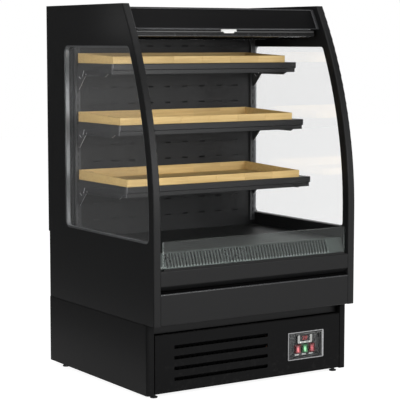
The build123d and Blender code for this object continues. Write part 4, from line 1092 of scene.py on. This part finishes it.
# deck pans whose lower front is painted near-black: painted shade, so that the grille's slots look dark
deckPans = {"facing": -0.5, "top": 0.578}  # faces turned this far to the front and lower than this


def makeDeckPans(values):
    bm = copyNode("deck_pans")
    paint(bm, lambda normal, place: normal.y < values["facing"] and place.z < values["top"])
    piece = addPiece(bm, "deckPans", "cabinet", ["liner", "dullRubber"])
    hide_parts("deck_pans")


makeAirGrille(airGrille)
makeDeckPans(deckPans)
print("air grille and deck pans made")


# lamp under the canopy: housing in a near-black that is painted shade under the canopy, opal diffuser on
# its lower faces
lampLook = {"housingFall": 0.35}  # faces that look down more than this are diffuser


def makeLampDress(values):
    bm = copyNode("lamp")
    paint(bm, lambda normal, place: normal.z < -values["housingFall"])
    piece = addPiece(bm, "canopyLamp", "cabinet", ["dullRubber", "lamp"])
    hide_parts("lamp")


makeLampDress(lampLook)
print("lamp made")


# night blind: hanging cloth between roll and bar
blind = {
    "rollDepth": 0.257,
    "rollHeight": 1.486,
    "rollRadius": 0.020,
    "footDepth": 0.020,
    "footHeight": 0.635,
    "width": 0.864,
    "barDrop": 0.042,  # from the roll to the middle of the bar
    "barHeight": 0.030,
    "thickness": 0.0006,
    "rows": 48,
    "columns": 24,
    "barHalf": 0.444,
}


# where the cloth leaves the roll, and the unit direction in which it runs
def blindLine(values):
    down = values["rollHeight"] - values["footHeight"]
    out = values["rollDepth"] - values["footDepth"]
    slope = math.atan2(down, out) + math.asin(values["rollRadius"] / math.hypot(down, out))
    run = Vector((0, -math.cos(slope), -math.sin(slope)))
    leave = Vector((0, back(values["rollDepth"]), values["rollHeight"]))
    leave += Vector((0, -math.sin(slope), math.cos(slope))) * values["rollRadius"]
    return leave, run


def makeBlindSheet(values):
    leave, run = blindLine(values)
    length = values["barDrop"] - values["barHeight"] / 2
    bm = bmesh.new()
    bmesh.ops.create_grid(bm, x_segments=values["columns"], y_segments=values["rows"], size=0.5)
    bmesh.ops.scale(bm, vec=(values["width"], length, 1), verts=bm.verts)
    outward = run.cross(Vector((1, 0, 0)))
    place = Matrix((
        (1, 0, 0, 0),
        (0, -run.y, outward.y, leave.y + run.y * length / 2),
        (0, -run.z, outward.z, leave.z + run.z * length / 2),
        (0, 0, 0, 1)))
    bmesh.ops.transform(bm, matrix=place, verts=bm.verts)
    bmesh.ops.recalc_face_normals(bm, faces=bm.faces)
    bmesh.ops.solidify(bm, geom=bm.faces[:], thickness=values["thickness"])
    bmesh.ops.recalc_face_normals(bm, faces=bm.faces)
    cloth = meshObject("blindCloth", bm, [materials["cloth"]])
    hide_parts("blind_web")
    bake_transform(cloth)


# the bar is one moulding: a thin neck, a thick rounded head in a lighter grey that is a painted highlight,
# a waist and a rounded foot
moulding = {
    "neck": {"drop": -0.0120, "thick": 0.006, "high": 0.0060, "edge": 0.0010},
    "head": {"drop": -0.0062, "thick": 0.014, "high": 0.0086, "edge": 0.0041},
    "waist": {"drop": 0.0020, "thick": 0.009, "high": 0.0240, "edge": 0.0015},
    "foot": {"drop": 0.0105, "thick": 0.0125, "high": 0.0090, "edge": 0.0036},
}


def makeMoulding(values, lie):
    leave, run = blindLine(lie)
    lean = math.degrees(math.atan2(-run.y, -run.z))
    bm = bmesh.new()
    for part in values.values():
        centre = leave + run * (lie["barDrop"] + part["drop"])
        reach = Vector((lie["barHalf"], part["thick"] / 2, part["high"] / 2))
        addBlock(bm, centre - reach, centre + reach, part["edge"], segments=5, turned=-lean)
    middle, reach = values["head"]["drop"], values["head"]["high"] / 2
    headLow, headTop = [(leave + run * (lie["barDrop"] + middle + side * reach)).z for side in (1, -1)]
    # the band of the head gets the lighter grey: painted highlight
    paint(bm, lambda normal, place: headLow < place.z < headTop)
    piece = addPiece(bm, "blindMoulding", "night_blind", ["bar", "barHeadHighlight"])
    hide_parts("blind_bar")


makeBlindSheet(blind)
makeMoulding(moulding, blind)
print("night blind made")


# screws: pan heads with a near-black cross that is painted shade in its recess, in place of the plain ones
screw = {"radius": 0.0045, "head": 0.0020, "crown": 0.0006, "slotLong": 0.0052, "slotWide": 0.0011,
         "slotDeep": 0.0009, "film": 0.00005, "segments": 20}  # the cross stands a film above the head


# centres of the plain heads, read from the loose parts of the CAD node
def screwPlaces():
    bm = copyNode("screws")
    bm.verts.ensure_lookup_table()
    seen, places = set(), []
    for start in bm.verts:
        if start in seen:
            continue
        group, queue = [], [start]
        seen.add(start)
        while queue:
            vert = queue.pop()
            group.append(vert.co.copy())
            for edge in vert.link_edges:
                other = edge.other_vert(vert)
                if other not in seen:
                    seen.add(other)
                    queue.append(other)
        low = Vector(min(c[i] for c in group) for i in range(3))
        high = Vector(max(c[i] for c in group) for i in range(3))
        places.append(Vector(((low.x + high.x) / 2, low.y, (low.z + high.z) / 2)))
    bm.free()
    return places


def makeScrews(values):
    bm = bmesh.new()
    half, wide, deep = values["slotLong"] / 2, values["slotWide"] / 2, values["slotDeep"]
    for place in screwPlaces():
        face = place.y + values["head"]
        made = addRod(bm, place + Vector((0, values["head"] / 2, 0)), (0, 1, 0), values["radius"],
                      values["head"], values["segments"])
        rim = {e for v in made["verts"] for e in v.link_edges
               if all(abs(x.co.y - face) < merge for x in e.verts)}
        roundEdges(bm, list(rim), values["crown"], segments=3)
        plain = set(bm.faces)
        for long, high in ((half, wide), (wide, half)):
            addBlock(bm, (place.x - long, face - deep, place.z - high),
                     (place.x + long, face + values["film"], place.z + high))
        # the cross gets the near-black: painted shade
        for one in set(bm.faces) - plain:
            one.material_index = 1
    piece = addPiece(bm, "screwHeads", "cabinet", ["steel", "blackPlasticAndCrossShade"])
    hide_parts("screws")


makeScrews(screw)
print("screws made")
